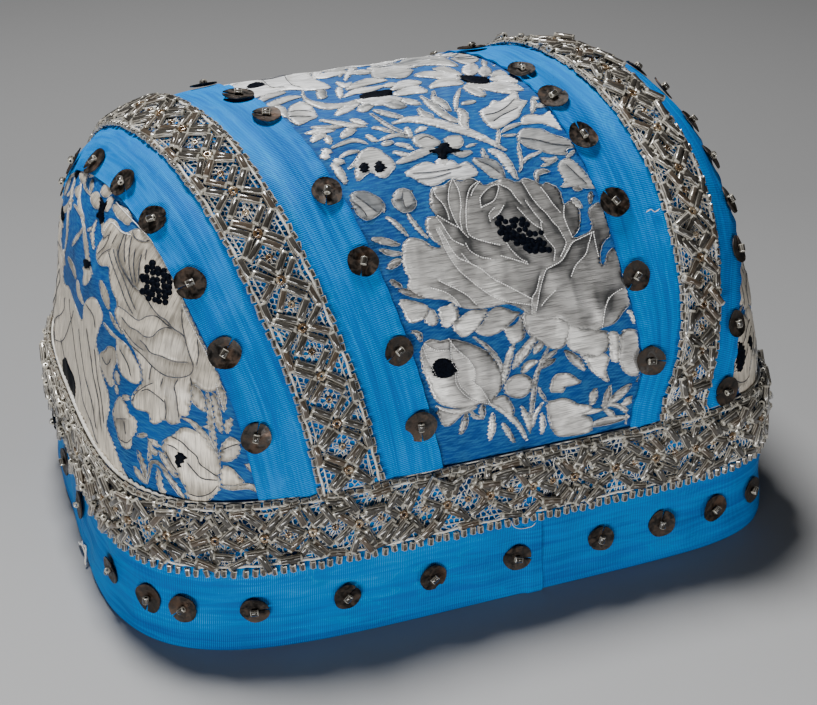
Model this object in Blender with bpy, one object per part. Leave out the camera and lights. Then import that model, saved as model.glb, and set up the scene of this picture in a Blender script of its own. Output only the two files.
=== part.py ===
"""Alsatian headdress: a stiff three-piece cap that stands on its own rim.

A brocade strip runs from rim to rim over the crown, between two D-shaped brocade side pieces.
A wide watered ribbon covers each of the two seams and a third one binds the rim.
A bead galloon runs along the middle of each arch ribbon and over the top edge of the rim ribbon.
Dark spangles follow both edges of the arch ribbons and the middle of the rim ribbon.

Metres, +Z up. -Y is the flat near side with the joins, +Y the far side, -X and +X the two ends.
The origin is on the surface that the cap stands on, in the middle of its box.
"""

import math

import bmesh
import bpy
import numpy as np
from mathutils import Matrix, Vector

# Form of the ribbons' outer face, measured from its own upright axis
HALF_WIDTH = 0.0920
NEAR_DEPTH = 0.0734
FAR_DEPTH = 0.0754
CROWN_HEIGHT = 0.1175

# Where that axis stands, so that the origin is in the middle of the cap's box
AXIS_X = 0.00036
AXIS_Y = -0.00102

# Squareness of the sections along X: 2 is an ellipse, more is boxier
SQUARE_NEAR_LEFT = 4.24
SQUARE_NEAR_RIGHT = 6.69
SQUARE_TOP_LEFT = 5.05
SQUARE_TOP_RIGHT = 5.35
SQUARE_FAR = 3.42

# Squareness of the section across the middle, from rim over the crown to rim
ARCH_NEAR = 2.19
ARCH_FAR = 2.28

# The left end is pinched in at the waist, the foot flares out, and the near left corner bulges
WAIST_PINCH = 0.022
WAIST_HEIGHT = 0.0660
WAIST_SPREAD = 0.0180
FOOT_HEIGHT = 0.0322
FLARE_LEFT = 0.019
FLARE_RIGHT = 0.004
FLARE_DEPTH = 0.025
BULGE = 0.020
BULGE_HEIGHT = 0.0450
BULGE_AZIMUTH = math.radians(-158.0)
BULGE_SPREAD = math.radians(18.0)

# Seams under the arch ribbons: distance from the middle at the rim and over the crown, and skew
SEAM_AT_RIM = 0.0452
SEAM_AT_CROWN = 0.0592
SEAM_SKEW = 0.0157

# Ribbons and galloons, as widths and heights on the cap's surface
GALLOON_WIDTH = 0.0166
RIBBON_INNER = 0.0157
RIBBON_OUTER = 0.0147
RIM_GALLOON_LOW = 0.0240
RIM_GALLOON_HIGH = 0.0421
RIM_FOLD_HEIGHT = 0.0150

# Thickness of each layer, and the air between two pieces
RIBBON = 0.0010
BROCADE = 0.0020
GALLOON = 0.0017
GAP = 0.0004
FOLD_CHAMFER = 0.0005

# Spangles: flat discs sunk into the ribbon that carries them
SPANGLE_RADIUS = 0.0039
SPANGLE_THICK = 0.0010
SPANGLE_SUNK = 0.0005
SPANGLE_SIDES = 10
SPANGLE_INSET = 0.0032

# Millimetres along each ribbon edge, from the near foot over the crown to the far one
EDGE_SPANGLES = {
    "left_outer": (62, 84, 102.5, 121.5, 137, 155, 174, 191.5, 210, 228),
    "left_inner": (53, 73, 96.5, 116, 145.5, 160, 182, 203, 224, 245, 262),
    "right_inner": (58, 80.5, 100, 119.5, 134, 148.5, 173, 194, 214, 235, 256),
    "right_outer": (65, 85, 99, 112, 124, 138, 150, 168, 186, 204, 222, 240),
}

# Millimetres round the rim from the middle of the near side, then an even pitch round the far side
RIM_SPANGLES = (-137.5, -106, -90, -80, -62, -38.5, -15.5, 8, 32, 50, 66.5, 81)
RIM_SPANGLE_HEIGHT = 0.0125
HIDDEN_RIM_SPANGLES = 16

# Fineness of the faceted faces
ARCH_ROWS = 30
RIBBON_COLUMNS = 7
GALLOON_COLUMNS = 2
CENTER_COLUMNS = 12
SIDE_COLUMNS = 8
RIM_STATIONS = 62
TURN_WEIGHT = 0.030
LINE_POINTS = 361
WALK_STEPS = 6
BISECTIONS = 30
NUDGE = 1e-6
MILLIMETRE = 0.001
SHARP_EDGE = math.radians(35)


def fullness(angle, x):
    """Squareness of the section along X at an angle over the cap: 0 is near, pi is far."""
    near = np.where(x < 0, SQUARE_NEAR_LEFT, SQUARE_NEAR_RIGHT)
    top = np.where(x < 0, SQUARE_TOP_LEFT, SQUARE_TOP_RIGHT)
    end = np.where(angle < math.pi / 2, near, SQUARE_FAR)
    return end + (top - end) * np.sin(angle) ** 2


def gauge(points):
    """1 on the form, less inside, more outside, and growing evenly along rays from the axis foot."""
    x, y, z = points[..., 0], points[..., 1], points[..., 2]
    across = np.where(y < 0, -y / NEAR_DEPTH, -y / FAR_DEPTH)
    rise = np.maximum(z, 0) / CROWN_HEIGHT
    power = np.where(across > 0, ARCH_NEAR, ARCH_FAR)
    reach = (np.abs(across) ** power + rise ** power) ** (1 / power)
    square = fullness(np.arctan2(rise, across), x)
    return (np.abs(x / HALF_WIDTH) ** square + reach ** square) ** (1 / square)


def onto_form(points):
    return points / gauge(points)[..., None]


def form_normal(points):
    slope = [gauge(points + NUDGE * step) - gauge(points) for step in np.eye(3)]
    slope = np.stack(slope, -1)
    return slope / np.linalg.norm(slope, axis=-1, keepdims=True)


def worn(points):
    """The form's points moved to where use has pushed them: waist, flared foot, bulged corner."""
    x, y, z = points[..., 0], points[..., 1], points[..., 2]
    foot = np.clip(1 - z / FOOT_HEIGHT, 0, 1) ** 2
    waist = WAIST_PINCH * np.exp(-((z - WAIST_HEIGHT) / WAIST_SPREAD) ** 2)
    turn = np.arctan2(y, x)
    away = np.arctan2(np.sin(turn - BULGE_AZIMUTH), np.cos(turn - BULGE_AZIMUTH))
    low = np.clip(1 - z / BULGE_HEIGHT, 0, 1) ** 2
    bulge = BULGE * np.exp(-(away / BULGE_SPREAD) ** 2) * low
    wide = 1 + bulge + np.where(x < 0, FLARE_LEFT * foot - waist, FLARE_RIGHT * foot)
    deep = 1 + bulge + FLARE_DEPTH * foot
    return np.stack([x * wide, y * deep, z], -1)


def layer(points, depth, upright=False):
    """Points at a depth under the form's face; upright ones keep their height."""
    normal = form_normal(points)
    if upright:
        normal = normal * (1, 1, 0)
        normal = normal / np.linalg.norm(normal, axis=-1, keepdims=True)
    return worn(points) - depth * normal + (AXIS_X, AXIS_Y, 0)


def seam_x(angle, side):
    spread = SEAM_AT_RIM + (SEAM_AT_CROWN - SEAM_AT_RIM) * np.sin(angle)
    return SEAM_SKEW * np.cos(angle) + side * spread


def section_point(x, angle):
    """The form's point at x, at an angle over the cap."""
    c, s = np.cos(angle), np.abs(np.sin(angle))
    power = np.where(c > 0, ARCH_NEAR, ARCH_FAR)
    depth = np.where(c > 0, NEAR_DEPTH, FAR_DEPTH)
    reach = (np.abs(c) ** power + s ** power) ** (1 / power)
    square = fullness(angle, x)
    shrink = np.clip(1 - np.abs(x / HALF_WIDTH) ** square, 0, 1) ** (1 / square)
    return np.stack([x, -depth * c / reach * shrink, CROWN_HEIGHT * s / reach * shrink], -1)


def line_angles():
    return np.linspace(0, math.pi, LINE_POINTS)


def sideways(line, distance, side):
    """Walk a line over the form, away from the cap's middle for a positive distance."""
    along = np.gradient(line, axis=0)
    points = line.copy()
    for _ in range(WALK_STEPS):
        across = np.cross(along, form_normal(points))
        across /= np.linalg.norm(across, axis=1, keepdims=True)
        across *= np.sign(across[:, :1]) * side
        points = onto_form(points + across * distance / WALK_STEPS)
    return points


def lengths(line):
    steps = np.linalg.norm(np.diff(line, axis=0), axis=1)
    return np.concatenate([[0], np.cumsum(steps)])


def sampled(line, stations, run):
    """Points of a line at the given distances along it, where run holds its own points' distances."""
    return np.stack([np.interp(stations, run, line[:, k]) for k in range(3)], -1)


def cut_above(line, height):
    """The stretch of an arched line above a height, with its ends exactly there."""
    inside = np.nonzero(line[:, 2] > height)[0]
    first, last = inside[0], inside[-1]
    ends = []
    for low, high in ((first - 1, first), (last + 1, last)):
        share = (height - line[low, 2]) / (line[high, 2] - line[low, 2])
        ends.append(line[low] + share * (line[high] - line[low]))
    return np.vstack([ends[0], line[first:last + 1], ends[1]])


def evenly(line, rows):
    run = lengths(line)
    return sampled(line, np.linspace(0, run[-1], rows + 1), run)


def at_height(azimuths, height):
    """Points of the form at one height, in the given directions round its axis."""
    low = np.zeros(len(azimuths))
    high = np.full(len(azimuths), math.pi / 2)
    for _ in range(BISECTIONS):
        middle = (low + high) / 2
        flat = np.cos(middle)
        rays = np.stack([flat * np.cos(azimuths), flat * np.sin(azimuths), np.sin(middle)], -1)
        points = onto_form(rays)
        above = points[:, 2] > height
        high = np.where(above, middle, high)
        low = np.where(above, low, middle)
    return points


def rim_azimuths():
    """Directions of the rim's stations round the axis, closer together where the rim turns more."""
    turn = np.linspace(-math.pi / 2, 1.5 * math.pi, LINE_POINTS * 4)
    rim = worn(at_height(turn, RIM_SPANGLE_HEIGHT))
    steps = np.diff(rim, axis=0)
    heading = np.unwrap(np.arctan2(steps[:, 1], steps[:, 0]))
    measure = lengths(rim)[:-1] + TURN_WEIGHT * (heading - heading[0])
    return np.interp(np.linspace(0, measure[-1], RIM_STATIONS, endpoint=False), measure, turn[:-1])


def add_slab(mesh, face, back, ring=False):
    """Close two matching grids of points into one thin solid."""
    rows, columns = face.shape[:2]
    front = [[mesh.verts.new(point) for point in row] for row in face]
    rear = [[mesh.verts.new(point) for point in row] for row in back]
    for i in range(rows if ring else rows - 1):
        j = (i + 1) % rows
        for k in range(columns - 1):
            mesh.faces.new((front[i][k], front[i][k + 1], front[j][k + 1], front[j][k]))
            mesh.faces.new((rear[i][k], rear[j][k], rear[j][k + 1], rear[i][k + 1]))
        for k in (0, columns - 1):
            mesh.faces.new((front[i][k], front[j][k], rear[j][k], rear[i][k]))
    for i in () if ring else (0, rows - 1):
        for k in range(columns - 1):
            mesh.faces.new((front[i][k], front[i][k + 1], rear[i][k + 1], rear[i][k]))


def finish(mesh, name, finish_of):
    """Weld a mesh, turn its faces out and put it in the scene under its name."""
    bmesh.ops.remove_doubles(mesh, verts=mesh.verts, dist=NUDGE)
    bmesh.ops.recalc_face_normals(mesh, faces=mesh.faces)
    data = bpy.data.meshes.new(name)
    mesh.to_mesh(data)
    mesh.free()
    data.materials.append(finish_of)
    data.shade_smooth()
    data.set_sharp_from_angle(angle=SHARP_EDGE)
    piece = bpy.data.objects.new(name, data)
    bpy.context.scene.collection.objects.link(piece)
    return piece


def material(name, colour, roughness, metallic=0.0):
    finish_of = bpy.data.materials.new(name)
    finish_of.use_nodes = True
    shader = finish_of.node_tree.nodes["Principled BSDF"]
    shader.inputs["Base Color"].default_value = (*colour, 1.0)
    shader.inputs["Roughness"].default_value = roughness
    shader.inputs["Metallic"].default_value = metallic
    return finish_of


def slab_piece(name, points, depth, thick, finish_of):
    mesh = bmesh.new()
    add_slab(mesh, layer(points, depth), layer(points, depth + thick))
    return finish(mesh, name, finish_of)


def center_strip():
    """The form's points under the strip between the two seams, as a grid over the cap."""
    angles = line_angles()
    left, right = seam_x(angles, -1), seam_x(angles, 1)
    margin = GAP / 2 / (right - left)
    columns = []
    for share in np.linspace(0, 1, CENTER_COLUMNS + 1):
        across = margin + share * (1 - 2 * margin)
        line = section_point(left + across * (right - left), angles)
        columns.append(evenly(cut_above(line, brocade_foot()), ARCH_ROWS))
    return onto_form(np.stack(columns, 1))


def wrapped(turn):
    return np.arctan2(np.sin(turn), np.cos(turn))


def side_fan(side):
    """The form's points under a side piece: rows fan from the seam to the rim's own stations."""
    angles = line_angles()
    seam = sideways(section_point(seam_x(angles, side), angles), GAP / 2, side)
    seam = cut_above(seam, brocade_foot())
    middle = math.pi if side < 0 else 0.0
    near, far = wrapped(np.arctan2(seam[[0, -1], 1], seam[[0, -1], 0]) - middle)
    stations = np.sort(wrapped(rim_azimuths() - middle))
    between = stations[(stations - near) * (stations - far) < 0]
    between = between if near < far else between[::-1]
    rim = at_height(np.array([near, *between, far]) + middle, brocade_foot())
    seam = sampled(seam, lengths(rim) / lengths(rim)[-1], lengths(seam) / lengths(seam)[-1])
    rim[0], rim[-1] = seam[0], seam[-1]
    shares = np.linspace(0, 1, SIDE_COLUMNS + 1)[None, :, None]
    return onto_form(seam[:, None] * (1 - shares) + rim[:, None] * shares)


def brocade_foot():
    """Height of the brocade's bottom edge inside the fold of the rim ribbon."""
    return RIBBON + GAP


def band(side, low_edge, high_edge, foot, columns):
    """The form's points under a band along a seam, from one foot over the crown to the other."""
    angles = line_angles()
    seam = section_point(seam_x(angles, side), angles)
    lines = []
    for distance in np.linspace(low_edge, high_edge, columns + 1):
        line = cut_above(sideways(seam, distance, side), foot)
        lines.append(evenly(line, ARCH_ROWS))
    return onto_form(np.stack(lines, 1))


def spangle(place, normal):
    """One flat round spangle, sunk a little into the face at its place."""
    disc = bmesh.new()
    upright = Vector(normal).to_track_quat("Z", "Y").to_matrix().to_4x4()
    centre = place + normal * (SPANGLE_THICK / 2 - SPANGLE_SUNK)
    bmesh.ops.create_cone(
        disc, cap_ends=True, segments=SPANGLE_SIDES, radius1=SPANGLE_RADIUS,
        radius2=SPANGLE_RADIUS, depth=SPANGLE_THICK, matrix=Matrix.Translation(centre) @ upright)
    return disc


def fuse_spangles(ribbon, places):
    """Join flat spangles to a ribbon as one solid."""
    discs = bmesh.new()
    for point in places:
        disc = spangle(layer(point, 0.0), form_normal(point))
        data = bpy.data.meshes.new("spangle")
        disc.to_mesh(data)
        disc.free()
        discs.from_mesh(data)
        bpy.data.meshes.remove(data)
    cutter = finish(discs, ribbon.name + "_spangles", ribbon.data.materials[0])
    cutter.hide_render = True
    cutter.display_type = "WIRE"
    union = ribbon.modifiers.new("spangles", "BOOLEAN")
    union.operation = "UNION"
    union.solver = "EXACT"
    union.object = cutter


def edge_spangle_places(side, edge):
    """The form's points under the spangles along one edge of an arch ribbon."""
    reach = RIBBON_OUTER if edge == "outer" else RIBBON_INNER
    distance = GALLOON_WIDTH / 2 + reach - SPANGLE_INSET
    angles = line_angles()
    seam = section_point(seam_x(angles, side), angles)
    line = sideways(seam, distance if edge == "outer" else -distance, side)
    marks = np.array(EDGE_SPANGLES[("left_" if side < 0 else "right_") + edge]) * MILLIMETRE
    return onto_form(sampled(line, marks, lengths(worn(line))))


def rim_spangle_places():
    """The form's points under the rim ribbon's spangles, visible ones first."""
    turn = np.linspace(-math.pi / 2, 1.5 * math.pi, LINE_POINTS * 4)
    run = lengths(worn(at_height(turn, RIM_SPANGLE_HEIGHT)))
    marks = np.array(RIM_SPANGLES) * MILLIMETRE
    hidden = np.linspace(marks[-1], marks[0] + run[-1], HIDDEN_RIM_SPANGLES + 2)[1:-1]
    marks = np.concatenate([marks % run[-1], hidden])
    return at_height(np.interp(marks, run, turn), RIM_SPANGLE_HEIGHT)


def rim_ring(face_rows, back_rows, name, finish_of):
    """A ring round the rim from two matching lists of (depth, height) rows."""
    azimuths = rim_azimuths()
    mesh = bmesh.new()
    faces = [[layer(at_height(azimuths, max(height, NUDGE)), depth, upright=True) * (1, 1, 0) + (0, 0, height)
              for depth, height in rows] for rows in (face_rows, back_rows)]
    add_slab(mesh, np.stack(faces[0], 1), np.stack(faces[1], 1), ring=True)
    return finish(mesh, name, finish_of)


def rim_ribbon(finish_of):
    """The ribbon that binds the rim: down the outside, flat underneath, up the inside."""
    top = (RIM_GALLOON_LOW + RIM_GALLOON_HIGH) / 2 - GAP / 2
    middle = RIM_GALLOON_LOW / 2
    inside = RIBBON + GAP + BROCADE + GAP
    chamfer = FOLD_CHAMFER
    face = [(0, top), (0, middle), (0, RIBBON), (RIBBON, 0), (inside, 0), (inside + RIBBON, RIBBON),
            (inside + RIBBON, RIM_FOLD_HEIGHT)]
    back = [(RIBBON, top), (RIBBON, middle), (RIBBON, RIBBON + chamfer), (RIBBON + chamfer, RIBBON),
            (inside - chamfer, RIBBON), (inside, RIBBON + chamfer), (inside, RIM_FOLD_HEIGHT)]
    return rim_ring(face, back, "ribbon_rim", finish_of)


def rim_galloon(finish_of):
    heights = np.linspace(RIM_GALLOON_LOW, RIM_GALLOON_HIGH, GALLOON_COLUMNS + 1)
    face = [(-GAP - GALLOON, height) for height in heights]
    back = [(-GAP, height) for height in heights]
    return rim_ring(face, back, "galloon_rim", finish_of)


def build():
    for old in list(bpy.data.objects):
        bpy.data.objects.remove(old, do_unlink=True)
    brocade = material("brocade", (0.30, 0.38, 0.46), 0.45)
    silk = material("watered_silk", (0.02, 0.25, 0.56), 0.40)
    beads = material("bead_galloon", (0.33, 0.30, 0.26), 0.35, 0.4)
    under = RIBBON + GAP
    slab_piece("brocade_center", center_strip(), under, BROCADE, brocade)
    foot = (RIM_GALLOON_LOW + RIM_GALLOON_HIGH) / 2 + GAP / 2
    for side, hand in ((-1, "left"), (1, "right")):
        slab_piece("brocade_" + hand, side_fan(side), under, BROCADE, brocade)
        half = GALLOON_WIDTH / 2
        strip = band(side, -half - RIBBON_INNER, half + RIBBON_OUTER, foot, RIBBON_COLUMNS)
        ribbon = slab_piece("ribbon_arch_" + hand, strip, 0.0, RIBBON, silk)
        places = [edge_spangle_places(side, edge) for edge in ("outer", "inner")]
        fuse_spangles(ribbon, np.vstack(places))
        trim = band(side, -half, half, RIM_GALLOON_HIGH + GAP, GALLOON_COLUMNS)
        slab_piece("galloon_arch_" + hand, trim, -GAP - GALLOON, GALLOON, beads)
    fuse_spangles(rim_ribbon(silk), rim_spangle_places())
    rim_galloon(beads)


build()
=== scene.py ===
"""Looks of the Alsatian headdress: brocade, watered ribbons, bead galloons, spangles and loose threads."""

import math
import random

import bmesh
import bpy
import numpy as np
from mathutils import Matrix, Vector, geometry, kdtree
from mathutils.bvhtree import BVHTree


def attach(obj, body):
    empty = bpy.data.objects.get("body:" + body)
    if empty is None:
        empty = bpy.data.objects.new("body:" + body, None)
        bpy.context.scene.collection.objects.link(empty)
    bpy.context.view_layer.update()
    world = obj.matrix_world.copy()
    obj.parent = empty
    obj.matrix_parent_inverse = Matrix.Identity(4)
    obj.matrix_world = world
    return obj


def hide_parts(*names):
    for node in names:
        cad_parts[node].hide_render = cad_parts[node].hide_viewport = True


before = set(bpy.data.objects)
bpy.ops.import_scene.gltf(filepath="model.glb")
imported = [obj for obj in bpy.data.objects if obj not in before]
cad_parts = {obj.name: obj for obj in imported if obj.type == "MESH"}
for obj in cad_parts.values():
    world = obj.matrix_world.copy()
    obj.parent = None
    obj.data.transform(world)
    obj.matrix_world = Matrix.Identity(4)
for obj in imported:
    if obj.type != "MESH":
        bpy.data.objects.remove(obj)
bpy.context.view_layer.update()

# Form of the ribbons' outer face, as in the part's own source, in metres
HALF_WIDTH = 0.0920
NEAR_DEPTH = 0.0734
FAR_DEPTH = 0.0754
CROWN_HEIGHT = 0.1175
AXIS_X = 0.00036
AXIS_Y = -0.00102
SQUARE_NEAR_LEFT = 4.24
SQUARE_NEAR_RIGHT = 6.69
SQUARE_TOP_LEFT = 5.05
SQUARE_TOP_RIGHT = 5.35
SQUARE_FAR = 3.42
ARCH_NEAR = 2.19
ARCH_FAR = 2.28
WAIST_PINCH = 0.022
WAIST_HEIGHT = 0.0660
WAIST_SPREAD = 0.0180
FOOT_HEIGHT = 0.0322
FLARE_LEFT = 0.019
FLARE_RIGHT = 0.004
FLARE_DEPTH = 0.025
BULGE = 0.020
BULGE_HEIGHT = 0.0450
BULGE_AZIMUTH = math.radians(-158.0)
BULGE_SPREAD = math.radians(18.0)
SEAM_AT_RIM = 0.0452
SEAM_AT_CROWN = 0.0592
SEAM_SKEW = 0.0157
GALLOON_WIDTH = 0.0166
RIBBON_INNER = 0.0157
RIBBON_OUTER = 0.0147
RIM_GALLOON_LOW = 0.0240
RIM_GALLOON_HIGH = 0.0421
RIM_FOLD_HEIGHT = 0.0150
HALF_GALLOON = GALLOON_WIDTH / 2
RIM_SPANGLE_HEIGHT = 0.0125

# Camera, from the photo: direction in degrees, and the rest in metres and image widths
CAMERA_AZIMUTH = math.radians(20.68)
CAMERA_ELEVATION = math.radians(30.68)
CAMERA_DISTANCE = 0.5093
CAMERA_SIDE = 0.0054
CAMERA_HEIGHT = 0.0349
CAMERA_FOCUS = 2.1864
SENSOR = 36.0
IMAGE_WIDTH = 817
IMAGE_HEIGHT = 705

# Depths under the form's face of what shows, and heights over it
RIBBON_FACE = 0.0002
RIBBON_THICK = 0.0006
CLOTH_FACE = 0.0010
CLOTH_THICK = 0.0022
NET_LIFT = 0.0004
BUGLE_LIFT = 0.0011

LINE_POINTS = 361
WALK_STEPS = 6
BISECTIONS = 30
AXIS_STEP = 0.0005
NUDGE = 1e-6
MM = 0.001
SHARP = math.radians(50)


# The form

def fullness(angle, x):
    near = np.where(x < 0, SQUARE_NEAR_LEFT, SQUARE_NEAR_RIGHT)
    top = np.where(x < 0, SQUARE_TOP_LEFT, SQUARE_TOP_RIGHT)
    end = np.where(angle < math.pi / 2, near, SQUARE_FAR)
    return end + (top - end) * np.sin(angle) ** 2


def reach_of(across, rise):
    power = np.where(across > 0, ARCH_NEAR, ARCH_FAR)
    return (np.abs(across) ** power + rise ** power) ** (1 / power)


def unit(vectors):
    return vectors / np.linalg.norm(vectors, axis=-1, keepdims=True)


def shares(points):
    """Places along Y as shares of the depth there, positive on the near side, and heights as shares."""
    y = points[..., 1]
    across = np.where(y < 0, -y / NEAR_DEPTH, -y / FAR_DEPTH)
    return across, np.maximum(points[..., 2], 0) / CROWN_HEIGHT


def gauge(points):
    """One on the form's face, less inside it and more outside."""
    x = points[..., 0]
    across, rise = shares(points)
    square = fullness(np.arctan2(rise, across), x)
    return (np.abs(x / HALF_WIDTH) ** square + reach_of(across, rise) ** square) ** (1 / square)


def onto_form(points):
    return points / gauge(points)[..., None]


def form_normal(points):
    slope = [gauge(points + NUDGE * step) - gauge(points) for step in np.eye(3)]
    return unit(np.stack(slope, -1))


def stretch(points):
    """How much use has pushed the form's points out, along X and along Y."""
    x, y, z = points[..., 0], points[..., 1], points[..., 2]
    foot = np.clip(1 - z / FOOT_HEIGHT, 0, 1) ** 2
    waist = WAIST_PINCH * np.exp(-((z - WAIST_HEIGHT) / WAIST_SPREAD) ** 2)
    turn = np.arctan2(y, x)
    away = np.arctan2(np.sin(turn - BULGE_AZIMUTH), np.cos(turn - BULGE_AZIMUTH))
    low = np.clip(1 - z / BULGE_HEIGHT, 0, 1) ** 2
    bulge = BULGE * np.exp(-(away / BULGE_SPREAD) ** 2) * low
    wide = 1 + bulge + np.where(x < 0, FLARE_LEFT * foot - waist, FLARE_RIGHT * foot)
    return wide, 1 + bulge + FLARE_DEPTH * foot


def worn(points):
    wide, deep = stretch(points)
    return np.stack([points[..., 0] * wide, points[..., 1] * deep, points[..., 2]], -1)


def layer(points, lift):
    """World places at a height over the form's face."""
    lift = np.asarray(lift)
    return worn(points) + lift[..., None] * form_normal(points) + (AXIS_X, AXIS_Y, 0)


def unworn(places):
    """The form's points under world places near its face."""
    points = places - (AXIS_X, AXIS_Y, 0)
    start = points
    for _ in range(4):
        wide, deep = stretch(points)
        points = np.stack([start[..., 0] / wide, start[..., 1] / deep, start[..., 2]], -1)
    return onto_form(points)


def seam_x(angle, side):
    spread = SEAM_AT_RIM + (SEAM_AT_CROWN - SEAM_AT_RIM) * np.sin(angle)
    return SEAM_SKEW * np.cos(angle) + side * spread


def section_point(x, angle):
    """The form's point at x, at an angle over the cap: 0 is the near rim, pi the far one."""
    c, s = np.cos(angle), np.abs(np.sin(angle))
    depth = np.where(c > 0, NEAR_DEPTH, FAR_DEPTH)
    reach = reach_of(c, s)
    square = fullness(angle, x)
    shrink = np.clip(1 - np.abs(x / HALF_WIDTH) ** square, 0, 1) ** (1 / square)
    return np.stack([x, -depth * c / reach * shrink, CROWN_HEIGHT * s / reach * shrink], -1)


def sideways(line, distance, side):
    """Walk a line over the form, away from the cap's middle for a positive distance."""
    along = np.gradient(line, axis=0)
    points = line.copy()
    for _ in range(WALK_STEPS):
        across = unit(np.cross(along, form_normal(points)))
        across *= np.sign(across[:, :1]) * side
        points = onto_form(points + across * distance / WALK_STEPS)
    return points


def lengths(line):
    steps = np.linalg.norm(np.diff(line, axis=0), axis=1)
    return np.concatenate([[0], np.cumsum(steps)])


def at_height(azimuths, height):
    """Points of the form at one height, in the given directions round its axis."""
    low = np.zeros(len(azimuths))
    high = np.full(len(azimuths), math.pi / 2)
    for _ in range(BISECTIONS):
        middle = (low + high) / 2
        flat = np.cos(middle)
        rays = np.stack([flat * np.cos(azimuths), flat * np.sin(azimuths), np.sin(middle)], -1)
        points = onto_form(rays)
        above = points[:, 2] > height
        high = np.where(above, middle, high)
        low = np.where(above, low, middle)
    return points


def smooth_step(share):
    share = np.clip(share, 0, 1)
    return share * share * (3 - 2 * share)


class Band:
    """A strip of the form: distances along it, distances across it, and the point at each pair."""

    def __init__(self, lines, across, along, loop=False, drift=None):
        self.lines = lines
        self.across = across
        self.along = along
        self.loop = loop
        self.drift = drift

    def point(self, u, w):
        u, w = np.broadcast_arrays(np.asarray(u, float), np.asarray(w, float))
        if self.drift:
            w = w - self.drift(u, w)
        if self.loop:
            u = u % self.along[-1]
        i = np.clip(np.interp(w, self.across, np.arange(len(self.across))), 0, len(self.across) - 1.001)
        j = np.clip(np.interp(u, self.along, np.arange(len(self.along))), 0, len(self.along) - 1.001)
        a, b = i.astype(int), j.astype(int)
        s, t = (i - a)[..., None], (j - b)[..., None]
        grid = self.lines
        near = grid[a, b] * (1 - t) + grid[a, b + 1] * t
        far = grid[a + 1, b] * (1 - t) + grid[a + 1, b + 1] * t
        return onto_form(near * (1 - s) + far * s)

    def place(self, u, w, lift=0.0):
        return layer(self.point(u, w), np.broadcast_to(lift, np.broadcast(u, w).shape))

    def axes(self, u, w):
        """Place on the face and unit axes along, across and out, for small things sewn on."""
        point = self.point(u, w)
        out = form_normal(point)
        along = worn(self.point(u + AXIS_STEP, w)) - worn(self.point(u - AXIS_STEP, w))
        along = unit(along - (along * out).sum(-1, keepdims=True) * out)
        across = worn(self.point(u, w + AXIS_STEP)) - worn(self.point(u, w - AXIS_STEP))
        hand = np.sign((np.cross(out, along) * across).sum(-1, keepdims=True))
        return layer(point, np.zeros(point.shape[:-1])), along, hand * np.cross(out, along), out


# Slips of the right arch toward the middle: how far, up to which distance from its foot, and over what run
INNER_SLIP = (0.0038, 0.0750, 0.0300)
OUTER_SLIP = (0.0072, 0.1100, 0.0650)
FOOT_SLIP = (0.0036, 0.0610, 0.0200)
MARGIN_SLIP = (0.0062, 0.0970, 0.0350)
# Swellings of its course: how far, and at which distance
EDGE_SWELL = (0.0040, 0.0580)
EDGE_SWELL_ABOVE = 0.0220
EDGE_SWELL_BELOW = 0.0100
CROWN_SWELL = (0.0030, 0.1480)
CROWN_SWELL_RUN = 0.0380

ARCH_REACH = 0.026
ARCH_LINES = 27
RIM_REACH = 0.012
RIM_LINES = 13


def slip(u, amount, top, run):
    return amount * smooth_step((top - u) / run)


def swelling(u, amount, place, run):
    return amount * np.exp(-((u - place) / run) ** 2)


def right_drift(u, w):
    """How far the right arch's galloon and ribbon have slipped toward the middle, at near foot and crown."""
    inner, outer = slip(u, *INNER_SLIP), slip(u, *OUTER_SLIP)
    swell = swelling(u, *EDGE_SWELL, np.where(u > EDGE_SWELL[1], EDGE_SWELL_ABOVE, EDGE_SWELL_BELOW))
    share = np.clip((w + HALF_GALLOON) / GALLOON_WIDTH, 0, 1)
    fade = np.clip((w + HALF_GALLOON + RIBBON_INNER) / RIBBON_INNER, 0, 1)
    beyond = np.clip((w - HALF_GALLOON) / RIBBON_OUTER, 0, 1)
    crown = swelling(u, *CROWN_SWELL, CROWN_SWELL_RUN) * (1 - beyond)
    galloon_slip = (inner + (outer - inner) * share + slip(u, *FOOT_SLIP)) * fade
    return galloon_slip + slip(u, *MARGIN_SLIP) * beyond - swell * (1 - fade) + crown


def arch_band(side):
    angles = np.linspace(0, math.pi, LINE_POINTS)
    seam = section_point(seam_x(angles, side), angles)
    across = np.linspace(-ARCH_REACH, ARCH_REACH, ARCH_LINES)
    lines = np.stack([sideways(seam, distance, side) for distance in across])
    return Band(lines, across, lengths(worn(seam)), drift=right_drift if side > 0 else None)


def directions(count):
    """Directions once round the form's axis, from the middle of its near side."""
    return np.linspace(-math.pi / 2, 1.5 * math.pi, count)


def rim_band():
    """The strip under the rim galloon: distances round the rim, and across from its middle."""
    turn = directions(2 * LINE_POINTS)
    across = np.linspace(-RIM_REACH, RIM_REACH, RIM_LINES)
    rise = (RIM_GALLOON_HIGH - RIM_GALLOON_LOW) / GALLOON_WIDTH
    middle = (RIM_GALLOON_LOW + RIM_GALLOON_HIGH) / 2
    lines = np.stack([at_height(turn, middle + rise * distance) for distance in across])
    return Band(lines, across, lengths(worn(at_height(turn, RIM_SPANGLE_HEIGHT))), loop=True)


# Meshes

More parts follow.
